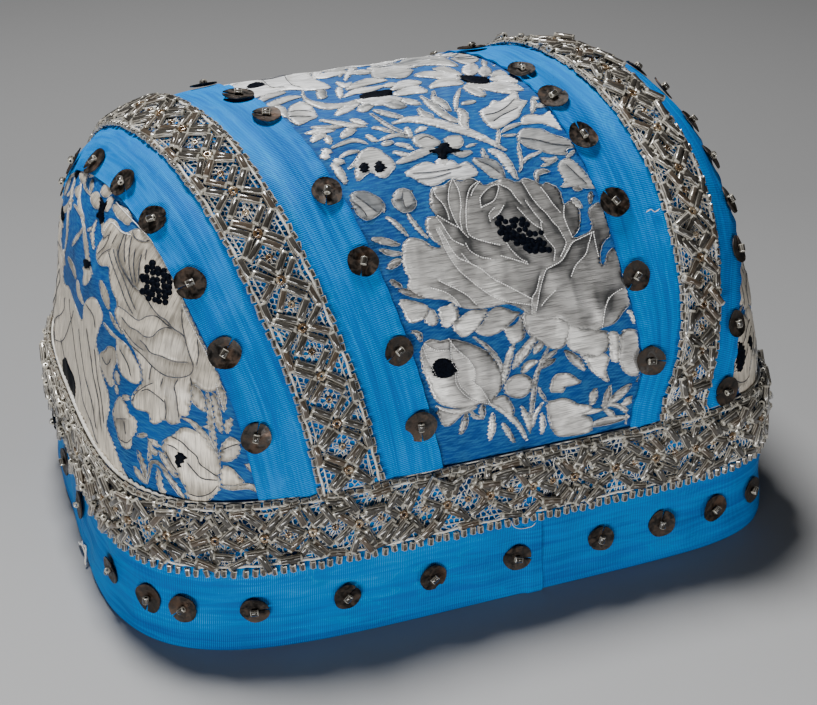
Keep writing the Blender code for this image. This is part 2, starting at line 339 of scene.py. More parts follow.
def piece(name, points, faces, finish, uv=None, smooth=True, attribute=None):
    data = bpy.data.meshes.new(name)
    data.from_pydata(np.asarray(points).tolist(), [], faces)
    data.materials.append(finish)
    if uv is not None:
        layer_uv = data.uv_layers.new(name="UVMap")
        index = np.zeros(len(data.loops), int)
        data.loops.foreach_get("vertex_index", index)
        layer_uv.data.foreach_set("uv", np.asarray(uv)[index].ravel())
    if attribute is not None:
        tone = data.attributes.new("tone", "FLOAT", "POINT")
        tone.data.foreach_set("value", np.asarray(attribute, np.float32))
    if smooth:
        data.shade_smooth()
    shown = bpy.data.objects.new(name, data)
    bpy.context.scene.collection.objects.link(shown)
    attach(shown, "root")
    return shown


def grid_faces(rows, columns, start=0):
    i = np.arange(rows - 1)
    k = np.arange(columns - 1)
    a = start + (i[:, None] * columns + k[None, :])
    return np.stack([a, a + 1, a + columns + 1, a + columns], -1).reshape(-1, 4)


def closed_faces(rows, columns):
    """Faces of a closed thin sheet whose points are its face's grid and then its back's."""
    count = rows * columns

    def wall(starts, ends, flip):
        return np.stack([starts, ends, count + ends, count + starts], -1)[:, ::flip]

    top = grid_faces(rows, columns)
    under = grid_faces(rows, columns, count)[:, ::-1]
    near = np.arange(rows - 1) * columns
    far = near + columns - 1
    first = np.arange(columns - 1)
    last = first + count - columns
    walls = [wall(near, near + columns, 1), wall(far, far + columns, -1), wall(first, first + 1, -1),
             wall(last, last + 1, 1)]
    return np.concatenate([top, under, *walls])


def shell(name, face, back, uv, finish):
    """A closed thin sheet from two matching grids of places."""
    points = np.concatenate([face.reshape(-1, 3), back.reshape(-1, 3)])
    uv = np.concatenate([uv.reshape(-1, 2)] * 2)
    made = piece(name, points, closed_faces(*face.shape[:2]).tolist(), finish, uv)
    mesh = bmesh.new()
    mesh.from_mesh(made.data)
    bmesh.ops.remove_doubles(mesh, verts=mesh.verts, dist=NUDGE)
    bmesh.ops.recalc_face_normals(mesh, faces=mesh.faces)
    mesh.to_mesh(made.data)
    mesh.free()
    made.data.set_sharp_from_angle(angle=SHARP)
    return made


def sewn(name, form, finish, *marks, **more):
    """A piece from points and faces, with the faces' repeated corners dropped."""
    points, faces = form
    return piece(name, points, [list(dict.fromkeys(face)) for face in faces.tolist()], finish, *marks, **more)


# Materials

class Finish:
    """A material and short ways to its nodes."""

    def __init__(self, name, roughness, **sockets):
        self.material = bpy.data.materials.new(name)
        self.material.use_nodes = True
        self.tree = self.material.node_tree
        self.shader = self.tree.nodes["Principled BSDF"]
        self.set("Roughness", roughness)
        for socket, value in sockets.items():
            self.set(socket.replace("_", " "), value)

    def set(self, socket, value):
        self.shader.inputs[socket].default_value = value

    def link(self, source, socket):
        self.tree.links.new(source, self.shader.inputs[socket])

    def node(self, kind, inputs=(), **settings):
        made = self.tree.nodes.new(kind)
        for setting, value in settings.items():
            setattr(made, setting, value)
        for key, value in dict(inputs).items():
            if isinstance(value, bpy.types.NodeSocket):
                self.tree.links.new(value, made.inputs[key])
            else:
                made.inputs[key].default_value = value
        return made

    def place(self, kind="UV", scale=(1, 1, 1), turn=0.0):
        where = self.node("ShaderNodeTexCoord").outputs[kind]
        inputs = {"Vector": where, "Scale": scale, "Rotation": (0, 0, turn)}
        return self.node("ShaderNodeMapping", inputs).outputs[0]

    def noise(self, where, scale, detail=2.0, distortion=0.0, roughness=0.5):
        inputs = {"Vector": where, "Scale": scale, "Detail": detail, "Distortion": distortion,
                  "Roughness": roughness}
        return self.node("ShaderNodeTexNoise", inputs).outputs["Fac"]

    def wave(self, where, scale, distortion=0.0, direction="X", profile="SIN"):
        inputs = {"Vector": where, "Scale": scale, "Distortion": distortion, "Detail": 1.0}
        made = self.node("ShaderNodeTexWave", inputs, bands_direction=direction, wave_profile=profile)
        return made.outputs["Fac"]

    def ramp(self, share, stops):
        made = self.node("ShaderNodeValToRGB", {"Fac": share})
        band = made.color_ramp
        while len(band.elements) < len(stops):
            band.elements.new(0.5)
        for element, (place, colour) in zip(band.elements, stops):
            element.position = place
            element.color = (*colour, 1) if hasattr(colour, "__len__") else (colour, colour, colour, 1)
        return made.outputs["Color"]

    def mix(self, share, first, second, blend="MIX"):
        made = self.node("ShaderNodeMix", data_type="RGBA", blend_type=blend)
        for key, value in ((0, share), (6, first), (7, second)):
            if isinstance(value, bpy.types.NodeSocket):
                self.tree.links.new(value, made.inputs[key])
            elif key == 0:
                made.inputs[key].default_value = value
            else:
                made.inputs[key].default_value = (*value, 1)
        return made.outputs[2]

    def sum(self, first, second, operation="ADD"):
        made = self.node("ShaderNodeMath", {0: first, 1: second}, operation=operation)
        return made.outputs[0]

    def relief(self, height, distance, strength=1.0, after=None):
        inputs = {"Height": height, "Distance": distance, "Strength": strength}
        if after is not None:
            inputs["Normal"] = after
        made = self.node("ShaderNodeBump", inputs).outputs[0]
        self.link(made, "Normal")
        return made


def watered_silk(name, light):
    """Ribbed silk with its water lines; light scales its colour, and a value below one paints shade into it
    for a piece that gets less light.
    """
    silk = Finish(name, 0.42, Anisotropic=0.4, Specular_IOR_Level=0.05)
    ribs = silk.wave(silk.place(), 620.0, 0.5, "Y")
    warp = silk.noise(silk.place(scale=(1, 0.03, 1)), 1500.0, 1.0)
    drift = silk.noise(silk.place(scale=(1, 0.055, 1)), 330.0, 2.0, 0.55)
    streaks = silk.ramp(drift, ((0.40, 0.0), (0.50, 0.45), (0.56, 1.0), (0.64, 0.25)))
    water = silk.noise(silk.place(scale=(1, 0.16, 1)), 210.0, 3.0, 1.3)
    lines = silk.ramp(water, ((0.44, 0.0), (0.485, 0.25), (0.50, 1.0), (0.515, 0.25), (0.56, 0.0)))
    broad = silk.noise(silk.place(scale=(1, 0.35, 1)), 42.0, 2.0, 0.8)
    ground = silk.ramp(broad, ((0.34, (0.0, 0.105, 0.42)), (0.52, (0.0, 0.150, 0.56)),
                               (0.72, (0.0, 0.215, 0.70))))
    colour = silk.mix(silk.sum(streaks, 0.45, "MULTIPLY"), ground, (0.0, 0.31, 0.84))
    glints = silk.sum(lines, silk.ramp(broad, ((0.40, 0.05), (0.62, 0.40))), "MULTIPLY")
    colour = silk.mix(glints, colour, (0.0, 0.46, 0.92))
    crossings = silk.ramp(ribs, ((0.30, 0.0), (0.85, 1.0)))
    dots = silk.sum(crossings, silk.ramp(warp, ((0.40, 0.15), (0.62, 1.0))), "MULTIPLY")
    colour = silk.mix(silk.sum(dots, 0.34, "MULTIPLY"), colour, (0.0, 0.42, 0.92))
    colour = silk.mix(1.0, colour, silk.ramp(ribs, ((0.10, 0.74), (0.65, 1.0))), "MULTIPLY")
    soil = silk.noise(silk.place(), 60.0, 4.0, 0.2)
    colour = silk.mix(silk.ramp(soil, ((0.58, 0.0), (0.78, 0.30))), colour, (0.02, 0.12, 0.26))
    # painted shade: the light factor darkens the whole colour where it is below one
    colour = silk.mix(1.0, colour, (light, light, light), "MULTIPLY")
    silk.link(colour, "Base Color")
    silk.link(silk.ramp(drift, ((0.38, 0.60), (0.56, 0.42))), "Roughness")
    silk.relief(silk.sum(ribs, silk.sum(drift, 0.6, "MULTIPLY")), 0.00007, 0.8)
    return silk.material


def blue_ground():
    cloth = Finish("brocade_ground", 0.60, Specular_IOR_Level=0.2)
    twill = cloth.wave(cloth.place(turn=math.radians(28)), 950.0, 0.8, "Y")
    wefts = cloth.noise(cloth.place(scale=(0.15, 1, 1)), 1900.0, 2.0)
    broad = cloth.noise(cloth.place(), 70.0, 3.0, 0.3)
    ground = cloth.ramp(broad, ((0.32, (0.0, 0.048, 0.22)), (0.55, (0.0, 0.072, 0.32)),
                                (0.78, (0.0, 0.11, 0.42))))
    weave = cloth.mix(cloth.ramp(wefts, ((0.42, 0.0), (0.64, 0.60))), ground, (0.050, 0.24, 0.50))
    dull = cloth.mix(cloth.ramp(twill, ((0.1, 0.0), (0.9, 0.45))), weave, (0.001, 0.030, 0.12))
    cloth.link(dull, "Base Color")
    cloth.relief(cloth.sum(twill, wefts), 0.00008, 0.9)
    return cloth.material


def plain_lining():
    back = Finish("brocade_back", 0.75, Sheen_Weight=0.15)
    threads = back.noise(back.place(scale=(0.10, 1, 1)), 700.0, 3.0)
    broad = back.noise(back.place(), 45.0, 4.0, 0.6)
    colour = back.mix(back.ramp(broad, ((0.35, 0.0), (0.65, 1.0))), (0.045, 0.10, 0.20), (0.30, 0.31, 0.30))
    colour = back.mix(back.ramp(threads, ((0.40, 0.0), (0.60, 0.6))), colour, (0.42, 0.42, 0.40))
    back.link(colour, "Base Color")
    back.relief(threads, 0.00015)
    return back.material


def smoky_glass():
    """Old glass tubes: dark along the top, with painted highlights in bands along their sides, and lighter at
    both ends.
    """
    glass = Finish("smoky_glass", 0.16, Metallic=0.15, Coat_Weight=0.5, Coat_Roughness=0.06)
    marks = glass.node("ShaderNodeSeparateXYZ", {0: glass.node("ShaderNodeTexCoord").outputs["UV"]})
    tone = glass.node("ShaderNodeAttribute", attribute_name="tone").outputs["Fac"]
    spots = glass.noise(glass.place("Object"), 900.0, 2.0, 0.4)
    around = glass.sum(marks.outputs[1], glass.sum(glass.sum(spots, 0.5, "SUBTRACT"), 0.16, "MULTIPLY"))
    # colour round each tube from its top: dark glass with two painted highlight bands toward its sides
    colour = glass.ramp(around, ((0.00, (0.034, 0.031, 0.027)), (0.13, (0.085, 0.078, 0.068)),
                                 (0.21, (0.036, 0.032, 0.027)), (0.29, (0.60, 0.56, 0.49)),
                                 (0.37, (0.065, 0.058, 0.048)), (0.50, (0.62, 0.58, 0.50)),
                                 (0.60, (0.09, 0.080, 0.066))))
    brown = glass.mix(glass.ramp(tone, ((0.65, 0.0), (1.0, 0.45))), colour, (0.13, 0.082, 0.045))
    dark = glass.mix(glass.ramp(tone, ((0.0, 0.55), (0.45, 0.0))), brown, (0.020, 0.017, 0.013))
    ends = ((0.0, 1.0), (0.07, 0.85), (0.11, 0.0), (0.89, 0.0), (0.93, 0.85), (1.0, 1.0))
    glass.link(glass.mix(glass.ramp(marks.outputs[0], ends), dark, (0.50, 0.47, 0.40)), "Base Color")
    glass.link(glass.ramp(spots, ((0.35, 0.10), (0.65, 0.26))), "Roughness")
    return glass.material


def amber_glass():
    amber = Finish("amber_glass", 0.15, Metallic=0.35, Coat_Weight=1.0, Coat_Roughness=0.06)
    spots = amber.noise(amber.place("Object"), 420.0, 2.0, 0.4)
    amber.link(amber.ramp(spots, ((0.35, (0.07, 0.040, 0.018)), (0.52, (0.18, 0.11, 0.055)),
                                  (0.68, (0.50, 0.42, 0.30)))), "Base Color")
    return amber.material


def white_thread():
    thread = Finish("white_thread", 0.6, Sheen_Weight=0.3)
    twist = thread.noise(thread.place("Object"), 2500.0, 2.0)
    soil = thread.noise(thread.place("Object"), 90.0, 3.0)
    colour = thread.ramp(soil, ((0.35, (0.52, 0.48, 0.40)), (0.60, (0.78, 0.76, 0.70))))
    thread.link(colour, "Base Color")
    thread.relief(twist, 0.00005)
    return thread.material


def rusty_metal():
    metal = Finish("spangle_metal", 0.42, Metallic=0.55)
    spots = metal.noise(metal.place("Object"), 700.0, 5.0, 0.6)
    broad = metal.noise(metal.place("Object"), 120.0, 3.0, 0.8)
    dark = metal.ramp(spots, ((0.35, (0.009, 0.008, 0.007)), (0.52, (0.028, 0.022, 0.018)),
                              (0.66, (0.065, 0.045, 0.032)), (0.80, (0.050, 0.042, 0.038))))
    colour = metal.mix(metal.ramp(broad, ((0.55, 0.0), (0.75, 0.60))), dark, (0.14, 0.075, 0.042))
    metal.link(colour, "Base Color")
    metal.link(metal.ramp(spots, ((0.35, 0.30), (0.60, 0.65))), "Roughness")
    metal.relief(spots, 0.00015, 0.7)
    return metal.material


# Small things in large numbers

def around(sides):
    """Angles of the corners of a regular ring."""
    return np.arange(sides) * 2 * math.pi / sides


def turned(profile, sides, closed=True):
    """A turned body along +X from (place, radius) rows, its last row joined to the first if closed."""
    turn = around(sides)
    rows = [np.stack([np.full(sides, x), r * np.cos(turn), r * np.sin(turn)], -1) for x, r in profile]
    faces = []
    for i in range(len(profile) if closed else len(profile) - 1):
        j = (i + 1) % len(profile)
        a = np.arange(sides) + i * sides
        b = np.arange(sides) + j * sides
        faces.append(np.stack([a, np.roll(a, -1), np.roll(b, -1), b], -1)[:, ::-1])
    return np.concatenate(rows), np.concatenate(faces)


def bugle_form(length, radius, sides):
    """A cut glass tube with its hole, centred, along +X."""
    half, hole, lip = length / 2, radius * 0.42, radius * 0.12
    profile = [(-half, hole), (-half, radius - lip), (-half + lip, radius), (half - lip, radius),
               (half, radius - lip), (half, hole)]
    return turned(profile, sides)


def tube_marks(form, count):
    """For each point of some tubes: the share along its tube, and the share round from its top."""
    points = form[0]
    along = (points[:, 0] - points[:, 0].min()) / np.ptp(points[:, 0])
    spread = np.maximum(np.hypot(points[:, 1], points[:, 2]), NUDGE)
    turn = np.arccos(np.clip(points[:, 2] / spread, -1, 1)) / math.pi
    return np.tile(np.stack([along, turn], -1), (count, 1))


def ring_form(radius, wire, sides, rows=6):
    """A round bead with its hole along +X."""
    return turned([(wire * math.cos(a), radius + wire * math.sin(a)) for a in around(rows)], sides)


def ball_form(size, sides, rows):
    """A small ellipsoid of the given half sizes."""
    turn = np.linspace(0, math.pi, rows + 1)
    profile = [(-math.cos(a), max(math.sin(a), 0.02)) for a in turn]
    points, faces = turned(profile, sides, closed=False)
    return points * size, faces


def scatter(form, places, axes_x, axes_y, axes_z, scales=None):
    """Copies of a form at places, with its axes along the given directions, as points and faces."""
    points, faces = form
    count = len(places)
    local = np.broadcast_to(points, (count, *points.shape))
    if scales is not None:
        local = local * np.asarray(scales).reshape(count, 1, -1)
    world = places[:, None]
    for k, axis in enumerate((axes_x, axes_y, axes_z)):
        world = world + local[..., k:k + 1] * axis[:, None]
    shifts = np.arange(count)[:, None, None] * len(points)
    return world.reshape(-1, 3), (faces[None] + shifts).reshape(-1, faces.shape[1])


def joined(parts):
    points, faces, start = [], [], 0
    for more, cells in parts:
        points.append(more)
        faces.append(cells + start)
        start += len(more)
    return np.concatenate(points), np.concatenate(faces)


def rods(starts, ends, ups, radius, sides=3):
    """Thin threads from starts to ends."""
    along = ends - starts
    length = np.linalg.norm(along, axis=-1, keepdims=True)
    along = along / np.maximum(length, NUDGE)
    across = np.cross(ups, along)
    across /= np.maximum(np.linalg.norm(across, axis=-1, keepdims=True), NUDGE)
    out = np.cross(along, across)
    turn = around(sides) + math.pi / 2
    ring = [across * math.cos(a) * radius + out * math.sin(a) * radius for a in turn]
    low = np.stack([starts + r for r in ring], 1)
    high = np.stack([ends + r for r in ring], 1)
    points = np.concatenate([low, high], 1)
    quads = [[k, (k + 1) % sides, sides + (k + 1) % sides, sides + k] for k in range(sides)]
    cells = np.array(quads)[None] + np.arange(len(starts))[:, None, None] * 2 * sides
    return points.reshape(-1, 3), cells.reshape(-1, 4)


def tube(line, ups, radius, sides=5):
    """A closed tube along a line of places."""
    along = unit(np.gradient(line, axis=0))
    across = unit(np.cross(ups, along))
    out = np.cross(along, across)
    radius = np.broadcast_to(radius, len(line))[:, None]
    rings = [line + radius * (across * math.cos(a) + out * math.sin(a)) for a in around(sides)]
    rings = np.stack(rings, 1)
    for end in (0, -1):
        rings[end] = line[end] + (rings[end] - line[end]) * 0.05
    rows = len(line)
    i, k = np.meshgrid(np.arange(rows - 1), np.arange(sides), indexing="ij")
    a, b = i * sides + k, i * sides + (k + 1) % sides
    faces = np.stack([a, b, b + sides, a + sides], -1).reshape(-1, 4)
    return rings.reshape(-1, 3), faces


def drawn(draw, count, low, high):
    """Seeded numbers between two limits."""
    return np.array([draw.uniform(low, high) for _ in range(count)])


def strewn(draw, count, size):
    """Seeded numbers round zero."""
    return np.array([draw.gauss(0, size) for _ in range(count)])


# Ribbons

def uneven(u, w, size, seed):
    """A smooth small unevenness from a few waves."""
    draw = random.Random(seed)
    height = np.zeros(np.broadcast(u, w).shape)
    for _ in range(7):
        pitch_u, pitch_w = draw.uniform(9, 34) * MM, draw.uniform(12, 40) * MM
        shift = draw.uniform(0, 2 * math.pi)
        lean = draw.choice((-1, 1))
        height = height + np.sin(2 * math.pi * (u / pitch_u + lean * w / pitch_w) + shift)
    return size * height / 4


ARCH_FOOT = (RIM_GALLOON_LOW + RIM_GALLOON_HIGH) / 2 - 0.003
RIBBON_PUCKER = 0.00028
RIBBON_FRILL = 0.00022
FRILL_PITCH = 0.0058
FRILL_DRIFT = 0.011
FRILL_REACH = 0.003


def foot_to_foot(band, w, height):
    """Distances along a band where its line at w leaves and meets a height."""
    u = band.along
    z = band.point(u, np.full(len(u), w))[:, 2]
    above = np.nonzero(z > height)[0]
    return u[above[0]], u[above[-1]]


def arch_ribbon(side, hand, band, finish):
    rows, columns = ((300, 26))
    w = np.linspace(-HALF_GALLOON - RIBBON_INNER, HALF_GALLOON + RIBBON_OUTER, columns)
    ends = np.array([foot_to_foot(band, each, ARCH_FOOT) for each in w])
    share = np.linspace(0, 1, rows)[:, None]
    u = ends[None, :, 0] * (1 - share) + ends[None, :, 1] * share
    w = np.broadcast_to(w, u.shape)
    edge = np.minimum(w - w.min(), w.max() - w) / FRILL_REACH
    pucker = uneven(u, w, RIBBON_PUCKER, 11 + side) * np.clip(edge, 0.25, 1)
    wave = np.sin(2 * math.pi * u / FRILL_PITCH + 3 * np.sin(u / FRILL_DRIFT))
    frill = RIBBON_FRILL * wave * np.clip(1 - edge, 0, 1)
    lift = -RIBBON_FACE + pucker + frill
    points = band.point(u, w)
    uv = np.stack([w, u], -1)
    made = shell("silk_arch_" + hand, layer(points, lift), layer(points, lift - RIBBON_THICK), uv, finish)
    return declared(made, w.max() - w.min(), "brocade_center", "ribbon_arch_" + hand)


def declared(made, width, rests_on, *nodes):
    """Hide the nodes that a piece stands for, and return the piece. The width is not used."""
    if nodes:
        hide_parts(*nodes)
    return made


RIM_LAP_PLACE = 0.0150
RIM_LAP = 0.0035
RIM_LAP_RISE = 0.0007
RIM_LAP_EDGE = 0.002
RIM_WAVE = 0.00035
RIM_WAVE_RISE = 0.004
RIM_TOP = ARCH_FOOT + 0.004
RIM_STRAIGHT_LOW = 0.0025
# The ribbon's face through its fold: depths under the form, and heights
RIM_FOLD = (
    (RIBBON_FACE + 0.0004, 0.0010), (0.0013, 0.0002), (0.0024, 0.0), (0.0036, 0.0002), (0.0044, 0.0010),
)
RIM_INSIDE_DEPTH = 0.0047
OUTSIDE_UP_TO = 0.002
FOLD_ROUND = 0.0010


def rim_profile():
    """The rim ribbon's face from its top edge down, under and up inside, as depths and heights."""
    outside = [(RIBBON_FACE, z) for z in np.linspace(RIM_TOP, RIM_STRAIGHT_LOW, 16)]
    inside = [(RIM_INSIDE_DEPTH, z) for z in np.linspace(RIM_STRAIGHT_LOW, RIM_FOLD_HEIGHT, 6)]
    return outside + list(RIM_FOLD) + inside


def rim_ribbon(band, finish):
    """One strip round the rim, over its fold and up inside, lapped on the near side."""
    around_rim = band.along[-1]
    u = np.linspace(RIM_LAP_PLACE - RIM_LAP, RIM_LAP_PLACE + around_rim, 480)
    profile = rim_profile()
    run = lengths(np.array(profile))
    faces, backs, uvs = [], [], []
    lap_start = RIM_LAP_PLACE + around_rim - RIM_LAP - RIM_LAP_EDGE
    over = RIM_LAP_RISE * smooth_step((u - lap_start) / RIM_LAP_EDGE)
    azimuth = band_azimuth(band, u)
    for (depth, z), distance in zip(profile, run):
        points = at_height(azimuth, max(z, NUDGE))
        normal = unit(form_normal(points) * (1, 1, 0))
        outer = depth < OUTSIDE_UP_TO
        wave = uneven(u, np.full(len(u), distance), RIM_WAVE, 5) * (0.3 + 0.7 * outer)
        lift = np.where(outer, over, -over) + wave * np.clip(z / RIM_WAVE_RISE, 0, 1)
        inward = (RIBBON_THICK if outer else -RIBBON_THICK) * np.clip(z / FOLD_ROUND, 0, 1)
        flat = worn(points) + (AXIS_X, AXIS_Y, 0)
        place = flat + normal * (lift - depth)[:, None]
        back = flat + normal * (lift - depth - inward)[:, None]
        place[:, 2] = z
        back[:, 2] = z + RIBBON_THICK * np.clip(1 - z / FOLD_ROUND, 0, 1)
        faces.append(place)
        backs.append(back)
        uvs.append(np.stack([np.full(len(u), distance), u], -1))
    made = shell("silk_rim", np.stack(faces, 1), np.stack(backs, 1), np.stack(uvs, 1), finish)
    return declared(made, run[-1], "brocade_center", "ribbon_rim")


def band_azimuth(band, u):
    whole = band.along[-1]
    laps = np.floor(u / whole)
    return np.interp(u - laps * whole, band.along, directions(len(band.along))) + 2 * math.pi * laps


# Galloons

NET_CELL = 0.0015
NET_THREAD = 0.00015
NET_STRAY = 0.00022
NET_MARGIN = 0.0010
REPEAT = 0.0120
BUGLE_LENGTH = 0.0058
BUGLE_RADIUS = 0.00100
BUGLE_STRAY_LIFT = 0.00012
ARM_START = 0.0012
ARM_ANGLE = math.radians(47)
ARM_LEAN = 0.09
ARM_STRAY = 0.00025
ARM_TIGHT = 0.00208
ARM_LOOSE = 0.00245
END_INSET = 0.0020
END_STRAY = 0.0002
END_LEAN = 0.08
LOOSE_ACROSS = (0.0030, 0.0058)
LOOSE_LEAN = 1.2
EDGE_BEAD_PITCH = 0.0024
EDGE_BEAD_LIFT = 0.0007
EDGE_BEAD_STRAY = (0.00020, 0.00014, 0.14)
EDGE_BEAD = (0.0019, 0.00066, 5)
EDGE_BEAD_OUT = -0.0005
PEG = (0.0021, 0.00080, 5)
PEG_OUT = 0.0004
STAR_BEAD = (0.00080, 0.00052, 10)
STAR_BEAD_LIFT = 0.0016
MIDDLE_BEAD = (0.00060, 0.00042, 8)
MIDDLE_BEAD_LIFT = 0.0010
STITCH_RADIUS = 0.00013
# Doubled stitches over each star and between stars: how many, and how long
STAR_SPOKES = (8, 0.0030)
MIDDLE_SPOKES = (6, 0.0021)
SPOKE_SPREAD = 0.05
SPOKE_LEAN = 0.10
# The ends of a spoke: share of its length, and lift
SPOKE_ENDS = ((0.25, 0.0012), (1.0, 0.0008))
BORDER_INSET = 0.0012
BORDER_RADIUS = 0.00034
BORDER_LIFT = 0.0008
LINE_INSET = 0.0026
LINE_RADIUS = 0.00018
LINE_LIFT = 0.0006
BORDER_PITCH = 0.0008
PICOT_RADIUS = 0.00050
PICOT_PITCH = 0.0022
PICOT_DROP = 0.0003
PICOT_PLACE = -0.1250
PICOT_REACH = 0.0450
PICOT_STEP = 0.0007
STRAYS_PER_REPEAT = 14
STRAY_LENGTH = (0.0012, 0.0026)
# The ends of a stray stitch: which way from its middle, and lift
STRAY_ENDS = ((-1, 0.0005), (1, 0.0014))


class Galloon:
    """A net strip sewn with glass tubes, beads and threads, in repeats along a band."""

    def __init__(self, band, start, stop, seed, mess):
        self.band = band
        self.start, self.stop = start, stop
        self.mess = mess
        self.draw = random.Random(seed)
        self.length = stop - start
        self.repeats = round(self.length / REPEAT)
        self.pitch = self.length / self.repeats
        self.centres = np.array([start + (i + 0.5) * self.pitch for i in range(self.repeats)])
        self.middles = self.centres + self.pitch / 2
        if not band.loop:
            self.middles = self.middles[:-1]

    def on(self, us, ws, heading, lift):
        """Places and axes for small things turned by heading from the band's run."""
        us, ws, heading = (np.asarray(each, float) for each in (us, ws, heading))
        place, along, across, out = self.band.axes(us, ws)
        x = along * np.cos(heading)[:, None] + across * np.sin(heading)[:, None]
        return place + out * np.broadcast_to(lift, len(us))[:, None], x, np.cross(out, x), out

    def star(self, base):
        """One repeat's tubes: eight in a star, two at its end, and strays where the galloon is worn.

        Each is a row of distance along, distance across, heading and lift.
        """
        draw, mess = self.draw, self.mess
        scale = self.pitch / REPEAT
        tubes = []
        for su in (-1, 1):
            for sw in (-1, 1):
                for side in (-0.5, 0.5):
                    angle = ARM_ANGLE + draw.gauss(0, ARM_LEAN * mess)
                    run = ARM_START + BUGLE_LENGTH / 2 + draw.gauss(0, ARM_STRAY * mess)
                    gap = ARM_TIGHT if su * sw > 0 else ARM_LOOSE
                    du = run * math.cos(angle) - side * gap * math.sin(angle)
                    dw = run * math.sin(angle) + side * gap * math.cos(angle)
                    heading = math.atan2(sw * math.sin(angle), su * math.cos(angle))
                    lift = BUGLE_LIFT + abs(draw.gauss(0, BUGLE_STRAY_LIFT))
                    tubes.append((base + su * du * scale, sw * dw, heading, lift))
        for sw in (-1, 1):
            across = sw * (HALF_GALLOON - END_INSET + draw.gauss(0, END_STRAY))
            tubes.append((base + self.pitch / 2, across, draw.gauss(0, END_LEAN * mess), BUGLE_LIFT))
        for _ in range(int(3 * (mess - 1))):
            along = base + draw.uniform(-0.5, 0.5) * self.pitch
            across = draw.choice((-1, 1)) * draw.uniform(*LOOSE_ACROSS)
            heading = draw.uniform(-LOOSE_LEAN, LOOSE_LEAN)
            tubes.append((along, across, heading, BUGLE_LIFT + BUGLE_RADIUS * draw.uniform(0.9, 1.5)))
        return tubes

    def tubes(self):
        """All stars' tubes, with their marks and tones."""
        draw = self.draw
        rows = [row for base in self.centres for row in self.star(base)]
        if not self.band.loop:
            rows = [row for row in rows if self.start <= row[0] <= self.stop]
        sizes = np.array([[draw.uniform(0.93, 1.05), draw.uniform(0.94, 1.06), 1.0] for _ in rows])
        sizes[:, 2] = sizes[:, 1]
        form = bugle_form(BUGLE_LENGTH, BUGLE_RADIUS, 6)
        tones = np.repeat([draw.random() for _ in rows], len(form[0]))
        return scatter(form, *self.on(*map(np.array, zip(*rows))), sizes), tube_marks(form, len(rows)), tones

    def edge_beads(self, sw):
        """One edge's short tubes, which stand out along the rim's lower edge, with their marks and tones."""
        pegs = self.band.loop and sw < 0
        count = int(self.length / EDGE_BEAD_PITCH)
        edge = self.start + (np.arange(count) + 0.5) * self.length / count
        strays = [strewn(self.draw, count, size) for size in EDGE_BEAD_STRAY]
        across = np.full(count, sw * (HALF_GALLOON + (PEG_OUT if pegs else EDGE_BEAD_OUT))) + strays[1]
        heading = (math.pi / 2 if pegs else 0.0) + strays[2]
        form = bugle_form(*PEG if pegs else EDGE_BEAD)
        beads = scatter(form, *self.on(edge + strays[0], across, heading, EDGE_BEAD_LIFT))
        return beads, tube_marks(form, count), np.repeat(drawn(self.draw, count, 0.2, 1.0), len(form[0]))

    def flowers(self):
        """Round amber beads, lying on the stars and between them."""
        beads = []
        for at, bead, lift in ((self.centres, STAR_BEAD, STAR_BEAD_LIFT),
                               (self.middles, MIDDLE_BEAD, MIDDLE_BEAD_LIFT)):
            place, x, y, z = self.on(at, np.zeros(len(at)), np.zeros(len(at)), lift)
            beads.append(scatter(ring_form(*bead), place, z, x, y))
        return joined(beads)

    def spokes(self, at, count, reach):
        """Doubled stitches that run out from each place."""
        made = []
        for k in range(count):
            for doubled in (-SPOKE_SPREAD, SPOKE_SPREAD):
                angle = 2 * math.pi * k / count + doubled + strewn(self.draw, len(at), SPOKE_LEAN)
                far = reach * drawn(self.draw, len(at), 0.8, 1.1)
                ends = []
                for share, lift in SPOKE_ENDS:
                    along, across = far * share * np.cos(angle), far * share * np.sin(angle)
                    ends.append(self.on(at + along, across, angle, lift))
                low, high = ends
                made.append(rods(low[0], high[0], low[3], STITCH_RADIUS))
        return made

    def cord(self, u, w, lift, radius, sides):
        """A thread laid along the band."""
        place, _, _, out = self.on(u, w, np.zeros(len(u)), lift)
        return tube(place, out, radius, sides)

    def borders(self):
        """A wavy border cord and a fine line inside it, along both edges."""
        u = np.linspace(self.start, self.stop, int(self.length / BORDER_PITCH))
        made = []
        for sw in (-1, 1):
            w = np.full(len(u), sw * (HALF_GALLOON - BORDER_INSET)) + 0.00012 * np.sin(u / 0.0011)
            made.append(self.cord(u, w, BORDER_LIFT + 0.0001 * np.sin(u / 0.0004), BORDER_RADIUS, 6))
            w = np.full(len(u), sw * (HALF_GALLOON - LINE_INSET))
            made.append(self.cord(u, w, LINE_LIFT, LINE_RADIUS, 4))
        return made

    def picots(self):
        """The cord along the rim galloon's top edge, looped where its picots still show."""
        u = np.linspace(self.start, self.stop, int(self.length / PICOT_STEP))
        apart = (np.abs(u - self.band.along[-1] - PICOT_PLACE) / PICOT_REACH) ** 2
        shown = np.clip(1.5 - 1.5 * apart, 0, 1)
        wave = shown * np.sin(2 * math.pi * u / PICOT_PITCH)
        w = HALF_GALLOON + 0.0002 * shown + 0.00025 * wave
        return self.cord(u, w, -PICOT_DROP, PICOT_RADIUS * (0.55 + 0.45 * shown + 0.2 * wave), 5)

